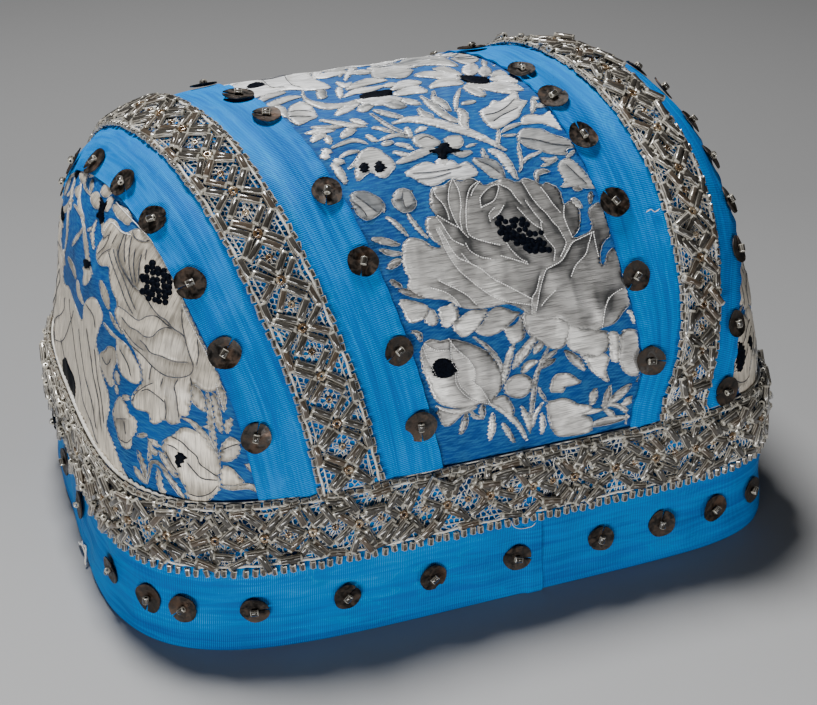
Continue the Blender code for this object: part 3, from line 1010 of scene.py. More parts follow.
    def strays(self):
        """Short stitches all over the net, more where the galloon is worn."""
        count = int(self.repeats * STRAYS_PER_REPEAT * self.mess)
        u = drawn(self.draw, count, self.start, self.stop)
        w = drawn(self.draw, count, -1, 1) * (HALF_GALLOON - BORDER_INSET)
        angle = drawn(self.draw, count, 0, math.pi)
        reach = drawn(self.draw, count, *STRAY_LENGTH)
        edge = HALF_GALLOON - NET_MARGIN
        ends = []
        for way, lift in STRAY_ENDS:
            far = np.clip(w + way * reach * np.sin(angle), -edge, edge)
            ends.append(self.on(u + way * reach * np.cos(angle), far, angle, lift))
        low, high = ends
        return rods(low[0], high[0], low[3], STITCH_RADIUS)

    def threads(self):
        made = self.spokes(self.centres, *STAR_SPOKES) + self.spokes(self.middles, *MIDDLE_SPOKES)
        made += self.borders()
        if self.band.loop:
            made.append(self.picots())
        return joined(made + [self.strays()])

    def net(self):
        edges = hexagons(self.start, self.stop, HALF_GALLOON - NET_MARGIN, NET_CELL)
        low, high = (self.on(*strayed(spots).T, np.zeros(len(spots)), NET_LIFT) for spots in edges)
        return rods(low[0], high[0], low[3], NET_THREAD)


def galloon(name, band, start, stop, node, finishes, seed, mess):
    strip = Galloon(band, start, stop, seed, mess)
    glass, marks, tones = zip(strip.tubes(), strip.edge_beads(-1), strip.edge_beads(1))
    bugles = sewn("bugles_" + name, joined(glass), finishes["glass"], np.concatenate(marks),
                  attribute=np.concatenate(tones))
    bugles.data.set_sharp_from_angle(angle=SHARP)
    flowers = sewn("flowers_" + name, strip.flowers(), finishes["amber"])
    threads = sewn("threads_" + name, strip.threads(), finishes["thread"])
    net = sewn("net_" + name, strip.net(), finishes["thread"], smooth=False)
    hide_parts(node)


def strayed(spots):
    """Spots of the net a little out of place, the same for each edge that meets there."""
    u, w = spots[:, 0], spots[:, 1]
    return spots + NET_STRAY * np.stack([np.sin(7919 * u + 3571 * w), np.sin(4733 * u - 6947 * w)], -1)


def hexagons(start, stop, half, cell):
    """Edges of a net of hexagons over a strip, as pairs of (along, across)."""
    side = cell / math.sqrt(3)
    step_u, step_w = cell, side * 1.5
    starts, ends = [], []
    for j in range(-int(half / step_w), int(half / step_w) + 1):
        w = j * step_w
        shift = (j % 2) * step_u / 2
        for i in range(int((stop - start) / step_u)):
            u = start + shift + (i + 0.5) * step_u
            top = (u, w + side / 2)
            starts += [(u, w - side / 2), top, top]
            ends += [top, (u + step_u / 2, w + side), (u - step_u / 2, w + side)]
    starts, ends = np.array(starts), np.array(ends)
    inside = (np.abs(starts[:, 1]) < half) & (np.abs(ends[:, 1]) < half)
    inside &= (np.minimum(starts[:, 0], ends[:, 0]) > start) & (np.maximum(starts[:, 0], ends[:, 0]) < stop)
    return starts[inside], ends[inside]


# Spangles

EDGE_SPANGLES = {
    "left_outer": (62, 84, 102.5, 121.5, 137, 155, 174, 191.5, 210, 228),
    "left_inner": (53, 73, 96.5, 116, 145.5, 160, 182, 203, 224, 245, 262),
    "right_inner": (58, 80.5, 100, 119.5, 134, 148.5, 173, 194, 214, 235, 256),
    "right_outer": (47, 65, 85, 99, 112, 124, 138, 150, 168, 186, 204, 222, 240),
}
RIM_SPANGLES = (-137.5, -106, -90, -80, -62, -38.5, -15.5, 8, 32, 50, 66.5, 81)
HIDDEN_RIM_SPANGLES = 16
SPANGLE_RADIUS = 0.0039
SPANGLE_INSET = 0.0032
SPANGLE_PLATE = 0.00030
SPANGLE_RINGS = (0.13, 0.45, 0.75, 0.92, 1.0)
SPANGLE_ROWS = 23
SPANGLE_LIFT = 0.0004
SPANGLE_CUP = (0.0001, 0.00035)
SPANGLE_BEND = 0.0003
SPANGLE_LIP = 0.00022
SPANGLE_TILT = 0.07
SPANGLE_SHARP = math.radians(60)
BEAD_FORM = bugle_form(0.0020, 0.00085, 8)
BEAD_LIFT = (0.0011, 0.0014)


def spangle_disc(draw):
    """One cupped, slit and slightly bent disc, as matching grids of its two faces."""
    radii = np.array(SPANGLE_RINGS) * SPANGLE_RADIUS
    slit = np.linspace(1, 0.25, len(radii))[::-1] * 0.05 + 0.02
    share = np.linspace(0, 1, SPANGLE_ROWS)[:, None]
    turn = slit + share * (2 * math.pi - 2 * slit)
    wobble = 1 + 0.03 * np.sin(2 * turn + draw.uniform(0, 6)) + 0.02 * np.sin(5 * turn + draw.uniform(0, 6))
    radius = radii * np.where(radii > radii[2], wobble, 1)
    cup = draw.uniform(*SPANGLE_CUP) * (radii / SPANGLE_RADIUS) ** 3
    bend = draw.uniform(-SPANGLE_BEND, SPANGLE_BEND) * np.cos(2 * turn + draw.uniform(0, 6))
    lip = SPANGLE_LIP * np.exp(-((share - 1) / 0.04) ** 2)
    x, y = radius * np.cos(turn), radius * np.sin(turn)
    z = cup + bend * (radii / SPANGLE_RADIUS) ** 2 + lip + SPANGLE_LIFT
    return np.stack([x, y, z], -1), np.stack([x, y, z - SPANGLE_PLATE], -1)


def spangles(name, points, finishes, seed):
    """Discs on the form, each on its glass bead."""
    draw = random.Random(seed)
    cells = closed_faces(SPANGLE_ROWS, len(SPANGLE_RINGS))
    metal, glass = [], []
    for place, normal in zip(layer(points, np.zeros(len(points))), form_normal(points)):
        tilt = Vector(normal) + Vector([draw.gauss(0, SPANGLE_TILT) for _ in range(3)])
        spin = Matrix.Rotation(draw.uniform(0, 2 * math.pi), 3, "Z")
        turn = np.array(tilt.to_track_quat("Z", "Y").to_matrix() @ spin)
        size = draw.uniform(0.93, 1.05)
        grids = [each.reshape(-1, 3) * size @ turn.T + place for each in spangle_disc(draw)]
        metal.append((np.concatenate(grids), cells))
        axes = [turn[:, k][None] for k in range(3)]
        glass.append(scatter(BEAD_FORM, (place + turn[:, 2] * draw.uniform(*BEAD_LIFT))[None], *axes))
    discs = sewn("spangles_" + name, joined(metal), finishes["metal"])
    discs.data.set_sharp_from_angle(angle=SPANGLE_SHARP)
    marks = tube_marks(BEAD_FORM, len(points))
    beads = sewn("spangle_beads_" + name, joined(glass), finishes["glass"], marks)
    beads.data.set_sharp_from_angle(angle=SHARP)


def edge_spangle_points(band, hand, edge):
    outward = edge == "outer"
    distance = HALF_GALLOON + (RIBBON_OUTER if outward else RIBBON_INNER) - SPANGLE_INSET
    distance = distance if outward else -distance
    u = np.linspace(band.along[0], band.along[-1], 4 * LINE_POINTS)
    run = lengths(worn(band.point(u, np.full(len(u), distance))))
    marks = np.interp(np.array(EDGE_SPANGLES[hand + "_" + edge]) * MM, run, u)
    return band.point(marks, np.full(len(marks), distance))


def rim_spangle_points():
    turn = directions(4 * LINE_POINTS)
    run = lengths(worn(at_height(turn, RIM_SPANGLE_HEIGHT)))
    marks = np.array(RIM_SPANGLES) * MM
    hidden = np.linspace(marks[-1], marks[0] + run[-1], HIDDEN_RIM_SPANGLES + 2)[1:-1]
    marks = np.concatenate([marks % run[-1], hidden])
    return at_height(np.interp(marks, run, turn), RIM_SPANGLE_HEIGHT)


# Brocade

COVER_PITCH = 0.0015
COVER_REACH = 0.0013
COVER_HEIGHT = 0.0300
CLOTH_FOOT = 0.0016
CENTER_WAVE = 0.0002
SIDE_WAVE = 0.0003
SIDE_ANGLES = 121
SIDE_OPENS = 241
SIDE_OPEN = 0.97 * math.pi / 2
CENTER_SHARES = (0.002, 0.998)


class Cover:
    """Knows which of the form's points lie under the ribbons."""

    def __init__(self, bands):
        low = -HALF_GALLOON - RIBBON_INNER + COVER_REACH
        across = np.arange(low, HALF_GALLOON + RIBBON_OUTER - COVER_REACH, COVER_PITCH)
        spots = []
        for band in bands:
            along = np.arange(0, band.along[-1], COVER_PITCH)
            spots.append(band.point(*np.meshgrid(along, across, indexing="ij")).reshape(-1, 3))
        spots = np.concatenate(spots)
        self.tree = kdtree.KDTree(len(spots))
        for k, spot in enumerate(spots.tolist()):
            self.tree.insert(spot, k)
        self.tree.balance()

    def hides(self, points):
        near = np.array([self.tree.find(point)[2] < COVER_REACH for point in points.tolist()])
        return near | (points[:, 2] < COVER_HEIGHT)


class CenterCloth:
    """The strip over the crown: x across, and the distance along its middle line."""

    def __init__(self):
        self.angles = np.linspace(0, math.pi, 2 * LINE_POINTS)
        self.run = lengths(worn(section_point(np.zeros(len(self.angles)), self.angles)))

    def depth(self, points):
        """How far the cloth's face lies under the form at its points."""
        return CLOTH_FACE - uneven(points[..., 0], points[..., 2] + points[..., 1], CENTER_WAVE, 3)

    def form(self, uv):
        return section_point(uv[..., 0], np.interp(uv[..., 1], self.run, self.angles))

    def find(self, places):
        points = unworn(places)
        across, rise = shares(points)
        return np.stack([points[..., 0], np.interp(np.arctan2(rise, across), self.angles, self.run)], -1)


class SideCloth:
    """A side piece, spread flat about the middle of its foot."""

    def __init__(self, side):
        self.side = side
        self.angles = np.linspace(0, math.pi, SIDE_ANGLES)
        self.opens = np.linspace(0, SIDE_OPEN, SIDE_OPENS)
        grid = self.ray(*np.meshgrid(self.angles, self.opens, indexing="ij"))
        steps = np.linalg.norm(np.diff(worn(grid), axis=1), axis=-1)
        self.run = np.concatenate([np.zeros((len(self.angles), 1)), np.cumsum(steps, 1)], 1)

    def depth(self, points):
        """How far the cloth's face lies under the form at its points."""
        return CLOTH_FACE - uneven(points[..., 1], points[..., 2], SIDE_WAVE, 8 + self.side)

    def ray(self, angle, opening):
        """The form's points at an angle round the side's middle, opened out from its axis."""
        flat = np.sin(opening) * np.cos(angle)
        depth = np.where(flat > 0, NEAR_DEPTH, FAR_DEPTH)
        rise = CROWN_HEIGHT * np.sin(opening) * np.sin(angle)
        way = [self.side * HALF_WIDTH * np.cos(opening), -depth * flat, rise]
        return onto_form(np.stack(np.broadcast_arrays(*way), -1))

    def spot(self, angle):
        """Where an angle lies among the cloth's rows, and the row before it."""
        spot = np.clip(angle / math.pi * (len(self.angles) - 1), 0, len(self.angles) - 1.001)
        return spot, spot.astype(int)

    def form(self, uv):
        u, v = uv[..., 0].ravel(), uv[..., 1].ravel()
        angle = np.arctan2(np.maximum(v, 0), -u)
        reach = np.hypot(u, v)
        spot, row = self.spot(angle)
        opening = np.zeros(len(u))
        for i in np.unique(row):
            here = row == i
            low = np.interp(reach[here], self.run[i], self.opens)
            high = np.interp(reach[here], self.run[i + 1], self.opens)
            share = spot[here] - i
            opening[here] = low * (1 - share) + high * share
        return self.ray(angle, opening).reshape(*uv.shape[:-1], 3)

    def reach(self, opening, spot, row):
        """Distance over the cloth from its foot's middle."""
        low = np.interp(opening, self.opens, self.run[row])
        high = np.interp(opening, self.opens, self.run[row + 1])
        return low * (1 - spot + row) + high * (spot - row)

    def find(self, places):
        points = unworn(places)
        across, rise = shares(points)
        angle = np.arctan2(rise, across)
        opening = np.arctan2(np.hypot(across, rise), np.abs(points[..., 0]) / HALF_WIDTH)
        found = zip(opening.ravel(), *(each.ravel() for each in self.spot(angle)))
        reach = np.reshape([self.reach(*each) for each in found], opening.shape)
        return np.stack([-reach * np.cos(angle), reach * np.sin(angle)], -1)


def cloth_sheet(name, cloth, points, finishes):
    """A closed sheet over some of the form's points, with its back's own finish, and its coordinates."""
    depth = cloth.depth(points)
    uv = cloth.find(layer(points, np.zeros(points.shape[:-1])))
    made = shell(name, layer(points, -depth), layer(points, -depth - CLOTH_THICK), uv, finishes[0])
    back_side(made, finishes[1])
    return made, uv


def back_side(made, finish):
    """Give the faces that look inward, toward a place low in the cap, their own finish."""
    made.data.materials.append(finish)
    for polygon in made.data.polygons:
        if polygon.normal.dot(polygon.center - Vector((0, 0, 0.02))) < 0:
            polygon.material_index = 1


def center_brocade(cloth, *finishes):
    rows, columns = ((130, 56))
    angles = np.linspace(0, math.pi, LINE_POINTS)
    lines = []
    for share in np.linspace(*CENTER_SHARES, columns):
        x = seam_x(angles, -1) * (1 - share) + seam_x(angles, 1) * share
        inside = section_point(x, angles)[:, 2] > CLOTH_FOOT
        span = np.linspace(angles[inside][0], angles[inside][-1], rows)
        lines.append(section_point(np.interp(span, angles, x), span))
    made, _ = cloth_sheet("brocade_center_cloth", cloth, np.stack(lines, 1), finishes)
    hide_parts("brocade_center")


def side_brocade(cloth, hand, *finishes):
    side = cloth.side
    rows, columns = ((110, 50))
    angles = np.linspace(0, math.pi, LINE_POINTS)
    seam = section_point(seam_x(angles, side), angles)
    seam = seam[seam[:, 2] > CLOTH_FOOT]
    run = lengths(seam)
    seam = np.stack([np.interp(np.linspace(0, run[-1], rows), run, seam[:, k]) for k in range(3)], -1)
    middle = math.pi if side < 0 else 0.0
    ends = [math.atan2(seam[k, 1], seam[k, 0]) - middle for k in (0, -1)]
    ends = [math.atan2(math.sin(a), math.cos(a)) for a in ends]
    rim = at_height(np.linspace(*ends, rows) + middle, CLOTH_FOOT)
    share = np.linspace(0, 1, columns)[None, :, None]
    points = onto_form(seam[:, None] * (1 - share) + rim[:, None] * share)
    made, uv = cloth_sheet("brocade_" + hand + "_cloth", cloth, points, finishes)
    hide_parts("brocade_" + hand)


# Woven motifs, drawn over the photo: every point is a photo pixel

ROSE = (
    (433, 189), (430, 199), (431, 210), (437, 218), (428, 219), (426, 226), (430, 238), (442, 249),
    (434, 249), (422, 242), (410, 240), (404, 247), (403, 260), (405, 272), (410, 281), (409, 291),
    (420, 298), (434, 301), (448, 302), (460, 309), (475, 311), (492, 309), (508, 306), (522, 312),
    (530, 318), (548, 322), (560, 322), (567, 329), (580, 331), (596, 333), (600, 330), (612, 326),
    (620, 316), (626, 309), (634, 304), (632, 292), (627, 283), (621, 278), (621, 262), (616, 253),
    (611, 250), (606, 257), (602, 268), (599, 262), (600, 250), (604, 242), (609, 238), (611, 228),
    (608, 214), (601, 205), (593, 206), (587, 213), (590, 224), (590, 232), (580, 238), (572, 240),
    (578, 230), (579, 216), (575, 206), (568, 203), (563, 207), (561, 200), (556, 190), (546, 184),
    (541, 187), (534, 183), (524, 180), (516, 184), (505, 180), (492, 184), (484, 187), (476, 182),
    (468, 180), (460, 184), (452, 181), (444, 187),
)
ROSE_LINES = (
    ((433, 190), (437, 199), (443, 206), (447, 214), (449, 221)),
    ((438, 218), (448, 224), (460, 230)),
    ((452, 181), (449, 192), (449, 206), (453, 218), (459, 229), (468, 239)),
    ((454, 183), (459, 194), (461, 207), (460, 220), (462, 231)),
    ((477, 184), (470, 190), (467, 200), (466, 216), (467, 230), (471, 238), (483, 243), (499, 247)),
    ((479, 184), (473, 192), (471, 197)),
    ((481, 209), (480, 200), (484, 194), (491, 188), (498, 187), (497, 195), (493, 203), (482, 209)),
    ((490, 223), (489, 216), (494, 210)),
    ((503, 208), (499, 215), (493, 220)),
    ((499, 186), (509, 191), (515, 199), (520, 205)),
    ((437, 220), (442, 226), (447, 234), (453, 242), (463, 247)),
    ((437, 232), (441, 240), (445, 250), (452, 262), (460, 273),
     (470, 282), (480, 290), (492, 298), (505, 303), (530, 307)),
    ((440, 231), (447, 243), (452, 252), (459, 260), (468, 264)),
    ((462, 256), (470, 265), (481, 271), (492, 280), (505, 287), (518, 294), (531, 301)),
    ((466, 246), (470, 253), (480, 259), (490, 261)),
    ((505, 243), (510, 251), (519, 260), (526, 264)),
    ((501, 258), (515, 262), (527, 266)),
    ((540, 225), (541, 232), (545, 240), (551, 247), (554, 252), (553, 262)),
    ((517, 210), (527, 221), (534, 227), (541, 231)),
    ((522, 185), (530, 198), (537, 207), (545, 215), (552, 224), (557, 229)),
    ((525, 203), (532, 213), (541, 224)),
    ((540, 190), (547, 199), (552, 206), (559, 214)),
    ((592, 234), (580, 240), (571, 245), (566, 254), (560, 263),
     (550, 269), (545, 272), (541, 284), (538, 297), (535, 312)),
    ((539, 279), (536, 292), (531, 301), (531, 315)),
    ((563, 208), (563, 218), (566, 228), (571, 239)),
    ((590, 236), (587, 247), (584, 257), (575, 267), (570, 278)),
    ((592, 235), (594, 246), (597, 258)),
    ((607, 300), (603, 312), (601, 329)),
    ((620, 291), (611, 297), (606, 303)),
    ((554, 293), (545, 302), (541, 307)),
    ((558, 231), (562, 238), (565, 246), (560, 258)),
    ((440, 283), (450, 288), (460, 293), (468, 298), (476, 306)),
    ((432, 290), (445, 294), (455, 301), (460, 308)),
)
ROSEBUD = (
    (424, 346), (432, 341), (441, 343), (449, 341), (462, 343), (476, 348), (489, 355),
    (497, 364), (502, 376), (502, 388), (497, 397), (489, 406), (480, 405), (468, 410),
    (452, 409), (440, 405), (433, 397), (430, 388), (426, 378), (423, 368), (421, 356),
)
ROSEBUD_LINES = (
    ((449, 341), (454, 348), (461, 355), (468, 361), (474, 370),
     (475, 378), (474, 384), (481, 390), (490, 405)),
    ((456, 376), (456, 384), (460, 391), (466, 397), (475, 402), (488, 405)),
    ((424, 350), (427, 358), (431, 366), (436, 376)),
    ((451, 343), (451, 356), (453, 366), (458, 372), (458, 380), (461, 388), (468, 395)),
    ((427, 347), (436, 352), (446, 352)),
)
CENTER_LEAVES = (
    ((400, 302), (415, 303), (428, 308), (429, 315), (424, 321), (413, 325), (408, 322), (404, 313)),
    ((431, 310), (436, 315), (439, 322), (434, 328), (427, 325), (425, 321), (430, 314)),
    ((440, 310), (447, 308), (453, 305), (458, 312), (459, 320),
     (453, 326), (447, 330), (442, 326), (440, 318)),
    ((453, 327), (460, 320), (470, 313), (480, 312), (488, 312),
     (484, 320), (478, 329), (472, 335), (465, 339), (458, 336)),
    ((491, 312), (500, 309), (512, 313), (520, 315), (514, 322),
     (505, 330), (495, 336), (486, 338), (476, 333), (483, 324)),
    ((521, 316), (519, 322), (512, 328), (503, 330), (506, 337),
     (511, 346), (515, 345), (523, 340), (524, 330)),
    ((524, 314), (545, 318), (562, 320), (570, 328), (567, 341),
     (561, 350), (550, 350), (541, 344), (530, 338), (524, 327)),
    ((567, 325), (580, 330), (597, 332), (607, 335), (608, 346),
     (603, 355), (596, 359), (586, 357), (575, 354), (566, 346)),
    ((577, 353), (590, 358), (602, 355), (608, 361), (605, 371),
     (607, 384), (598, 379), (590, 373), (583, 362)),
    ((563, 352), (572, 355), (580, 362), (584, 373), (575, 368), (568, 362)),
    ((619, 335), (626, 331), (635, 333), (640, 342), (641, 355), (641, 368),
     (636, 377), (627, 377), (620, 370), (617, 360), (618, 348)),
    ((608, 334), (617, 336), (618, 350), (617, 364), (609, 361), (608, 346)),
    ((550, 384), (554, 377), (561, 375), (570, 376), (576, 381), (580, 384),
     (572, 387), (564, 389), (563, 394), (556, 394), (549, 393)),
    ((546, 404), (553, 402), (560, 400), (568, 401), (576, 405), (590, 408), (591, 412), (583, 416),
     (590, 420), (592, 428), (586, 434), (560, 438), (553, 434), (548, 424), (546, 414)),
    ((503, 392), (509, 380), (519, 376), (528, 378), (533, 385), (529, 394), (520, 400), (510, 398)),
    ((491, 403), (499, 398), (506, 398), (511, 404), (514, 412), (510, 418), (503, 412), (496, 408)),
    ((438, 411), (452, 414), (466, 411), (460, 419), (450, 427), (443, 426)),
)
CROWN_PATCHES = (
    ((405, 175), (412, 170), (418, 166), (428, 163), (440, 166), (452, 161),
     (458, 166), (466, 163), (473, 168), (478, 176), (470, 179), (460, 182),
     (450, 180), (440, 185), (432, 187), (422, 184), (415, 180)),
    ((393, 199), (397, 192), (403, 190), (411, 192), (415, 199),
     (417, 206), (413, 212), (406, 214), (399, 211), (394, 206)),
    ((351, 198), (357, 193), (366, 193), (375, 196), (383, 202),
     (386, 209), (380, 216), (370, 222), (361, 219), (355, 210)),
    ((480, 111), (481, 117), (485, 123), (492, 129), (500, 129), (510, 123), (518, 118), (521, 110),
     (526, 103), (518, 101), (517, 95), (512, 94), (505, 99), (498, 102), (492, 101), (488, 107)),
    ((521, 126), (521, 119), (526, 116), (534, 115), (541, 116), (549, 112), (556, 114),
     (560, 120), (562, 128), (567, 132), (560, 131), (550, 127), (541, 124), (530, 125)),
    ((516, 139), (521, 131), (530, 130), (542, 131), (552, 136), (565, 140), (574, 145), (575, 148),
     (566, 151), (566, 156), (556, 156), (545, 154), (537, 151), (528, 149), (519, 143)),
    ((557, 170), (560, 163), (566, 160), (574, 164), (582, 172), (588, 180),
     (596, 189), (585, 190), (575, 188), (561, 189), (564, 183), (562, 178)),
    ((472, 159), (480, 160), (492, 161), (500, 167), (504, 174),
     (503, 180), (492, 179), (487, 175), (480, 169), (474, 164)),
    ((412, 140), (418, 136), (426, 135), (435, 139), (441, 144), (434, 148), (424, 149), (416, 147)),
    ((443, 141), (450, 137), (460, 137), (463, 142), (461, 148), (452, 150), (448, 146)),
    ((349, 170), (356, 161), (361, 153), (370, 148), (380, 150), (386, 155), (392, 160), (396, 168),
     (392, 173), (387, 179), (379, 178), (372, 173), (366, 177), (359, 182), (356, 174), (357, 167)),
    ((371, 72), (374, 69), (385, 69), (400, 69), (412, 71),
     (409, 76), (400, 79), (388, 78), (380, 79), (373, 77)),
    ((232, 87), (245, 83), (262, 80), (280, 76), (292, 73), (304, 74), (313, 78), (326, 84),
     (330, 89), (310, 91), (290, 90), (275, 92), (262, 97), (250, 99), (240, 95), (233, 92)),
    ((290, 108), (296, 104), (304, 103), (312, 107), (316, 112),
     (318, 117), (310, 121), (300, 126), (292, 122), (288, 116)),
)
CROWN_LINES = (
    ((412, 175), (430, 174), (450, 171), (462, 168)), ((416, 181), (435, 179), (452, 174)),
    ((395, 202), (402, 200), (403, 192)), ((403, 200), (406, 209), (413, 206)),
    ((356, 197), (368, 206), (378, 214)), ((353, 203), (362, 210), (368, 219)),
    ((484, 116), (495, 114), (505, 108), (514, 100)), ((492, 123), (503, 116), (518, 108)),
    ((519, 139), (535, 141), (555, 146), (570, 147)), ((418, 142), (426, 138), (434, 141)),
    ((262, 81), (270, 87), (286, 88)), ((283, 77), (290, 84), (302, 89)),
    ((290, 112), (302, 111), (313, 112)),
    ((289, 118), (300, 117), (313, 117)), ((564, 166), (575, 176), (586, 186)),
    ((477, 162), (490, 168), (500, 175)),
)
# Width, then the middle line, of leaves and stems
CENTER_BLADES = (
    (4, (408, 214), (414, 224), (421, 233), (429, 241)), (4, (386, 218), (395, 224), (403, 232), (409, 239)),
    (6, (372, 240), (386, 243), (401, 247)), (5, (380, 251), (392, 255), (403, 256)),
    (7, (389, 271), (396, 265), (403, 262)), (5, (391, 281), (397, 286), (404, 289)),
    (4, (383, 207), (385, 214)),
    (6, (399, 292), (412, 295), (426, 300)), (4, (473, 338), (486, 348), (497, 360), (502, 374), (504, 386)),
    (4, (436, 407), (446, 412), (462, 413), (478, 408)), (5, (486, 403), (505, 414), (519, 428), (526, 442)),
    (6, (514, 344), (509, 358), (506, 372), (503, 386)), (6, (517, 369), (519, 357), (529, 347)),
    (6, (467, 414), (465, 424), (461, 436)), (4, (470, 412), (475, 418), (482, 420)),
    (6, (483, 405), (482, 413), (483, 421)),
    (6, (492, 414), (492, 428), (490, 442)), (5, (502, 424), (508, 434), (514, 444)),
    (8, (539, 334), (530, 345), (521, 358), (512, 371)), (6, (545, 341), (537, 350), (533, 356)),
    (4, (549, 346), (541, 364), (535, 380), (533, 395), (531, 412), (529, 436)),
    (4, (556, 352), (548, 358), (541, 365)),
    (5, (555, 361), (545, 366), (538, 371)), (7, (537, 363), (528, 367), (521, 375)),
    (3, (537, 388), (541, 397), (546, 403)), (5, (521, 407), (526, 420), (529, 432)),
    (3, (542, 404), (535, 416), (531, 430)),
    (5, (541, 414), (542, 424), (541, 436)), (6, (609, 387), (606, 397), (601, 410)),
    (7, (629, 386), (618, 396), (606, 405)),
    (6, (634, 399), (627, 402), (620, 407)), (4, (601, 411), (608, 406), (617, 408), (625, 414), (624, 427)),
    (7, (594, 390), (592, 398), (590, 407)), (5, (602, 411), (608, 414), (613, 419)),
    (7, (588, 428), (600, 424), (625, 418)),
    (4, (580, 416), (592, 413), (602, 411)), (3, (637, 378), (636, 387)),
    (5, (626, 312), (631, 318), (632, 326)),
    (5, (412, 333), (419, 336), (422, 344)), (5, (571, 199), (576, 205), (581, 210)),
    (4, (590, 193), (589, 206)),
    (5, (537, 184), (536, 176), (541, 173), (549, 173)), (7, (572, 187), (581, 191)),
)
CROWN_BLADES = (
    (4, (372, 59), (400, 57), (440, 54), (478, 57)), (5, (371, 67), (382, 62), (399, 59)),
    (7, (393, 66), (415, 62), (440, 62), (457, 66)), (6, (432, 69), (445, 70), (461, 76)),
    (6, (414, 76), (430, 75), (448, 77), (461, 79)), (8, (429, 88), (440, 83), (452, 82), (463, 84)),
    (15, (469, 64), (470, 77)), (12, (484, 67), (484, 78)), (5, (483, 59), (484, 68)),
    (5, (489, 77), (499, 73), (508, 75)),
    (6, (489, 80), (503, 79), (519, 82)), (8, (488, 85), (505, 86), (522, 90)),
    (9, (462, 88), (470, 89), (485, 96)),
    (6, (466, 85), (490, 88), (517, 94)), (4, (490, 63), (499, 67)), (4, (460, 89), (456, 100), (455, 112)),
    (3, (460, 105), (476, 102)), (6, (433, 91), (434, 99), (442, 104), (451, 112)),
    (5, (400, 100), (421, 104)),
    (7, (420, 96), (432, 106), (447, 118), (459, 123)), (9, (380, 102), (393, 104), (406, 107)),
    (4, (373, 111), (385, 114), (404, 118)), (3, (370, 114), (385, 124), (398, 131), (410, 136)),
    (7, (392, 124), (408, 120), (428, 122), (447, 127), (468, 133), (488, 142), (506, 152)),
    (7, (488, 151), (500, 157), (509, 168), (517, 181)), (6, (418, 108), (423, 115), (434, 119)),
    (9, (457, 110), (463, 116), (463, 124), (468, 131)), (3, (371, 129), (380, 129), (396, 134)),
    (3, (380, 141), (397, 136), (409, 139)), (4, (382, 145), (394, 143)),
    (3, (395, 145), (406, 147), (414, 151)),
    (3, (393, 152), (402, 155), (411, 156)), (6, (406, 127), (409, 134), (412, 139)),
    (4, (415, 134), (420, 130), (427, 129)),
    (7, (396, 165), (410, 159), (425, 153), (437, 150)), (6, (452, 152), (462, 155), (472, 153)),
    (13, (443, 169), (442, 159)),
    (4, (320, 120), (335, 123), (350, 126), (367, 127)), (3, (311, 128), (330, 128), (346, 127)),
    (4, (306, 134), (320, 132), (336, 131)), (7, (341, 139), (347, 134), (357, 130)),
    (6, (312, 143), (317, 138), (327, 135)),
    (6, (325, 138), (329, 140), (332, 145)), (3, (331, 150), (342, 145), (355, 141), (369, 144)),
    (3, (340, 159), (350, 154), (361, 152)), (5, (322, 152), (333, 153)), (5, (321, 157), (331, 158)),
    (4, (366, 136), (378, 142)),
    (7, (336, 115), (347, 109), (360, 103)), (8, (358, 111), (366, 108), (374, 104)),
    (4, (350, 120), (367, 125)),
    (8, (272, 110), (282, 111), (288, 118)),
    (5, (303, 91), (306, 100), (316, 105), (330, 107), (346, 105), (358, 100)),
    (9, (317, 92), (327, 97)), (5, (255, 105), (265, 99), (275, 95), (286, 92)),
    (5, (262, 108), (275, 104), (290, 99), (302, 97)),
    (5, (326, 70), (333, 66), (346, 63)), (3, (331, 73), (343, 69), (351, 64)),
    (4, (314, 78), (330, 76), (346, 73)),
    (5, (345, 81), (350, 72), (355, 63)), (4, (336, 82), (345, 86), (352, 83)), (3, (350, 73), (370, 73)),
    (6, (339, 87), (341, 98)),
    (6, (313, 79), (318, 72), (320, 65)), (3, (285, 72), (320, 65), (350, 60), (385, 57)),
    (6, (346, 90), (358, 85), (370, 82), (386, 81)), (5, (344, 97), (355, 92), (370, 90), (384, 87)),
    (4, (383, 87), (397, 85)),
    (7, (391, 91), (400, 86), (410, 84), (421, 83)), (7, (393, 95), (405, 92), (415, 90), (427, 92)),
    (8, (356, 101), (375, 102), (402, 99)), (3, (498, 129), (498, 140), (496, 147)),
    (3, (500, 134), (508, 129), (521, 125)),
    (2, (501, 137), (516, 136)), (3, (518, 143), (519, 155), (521, 163), (519, 174)),
    (3, (522, 166), (527, 159), (541, 153)),
    (3, (540, 168), (548, 165), (557, 160)), (3, (540, 159), (548, 162), (556, 158)),
    (3, (565, 160), (575, 151)),
    (4, (482, 149), (484, 156), (489, 162)), (2, (466, 148), (476, 145)),
    (8, (333, 164), (340, 172), (347, 185)),
    (5, (334, 162), (346, 163)), (5, (531, 99), (533, 106), (531, 114)),
    (4, (534, 108), (545, 106), (552, 110)),
    (3, (531, 98), (542, 101)),
)
CENTER_DOTS = (
    (494, 222), (504, 218), (511, 222), (520, 221), (527, 225), (530, 232), (538, 233), (543, 236),
    (546, 243), (550, 250), (551, 256), (540, 256), (530, 255), (519, 249), (505, 241), (497, 231),
)
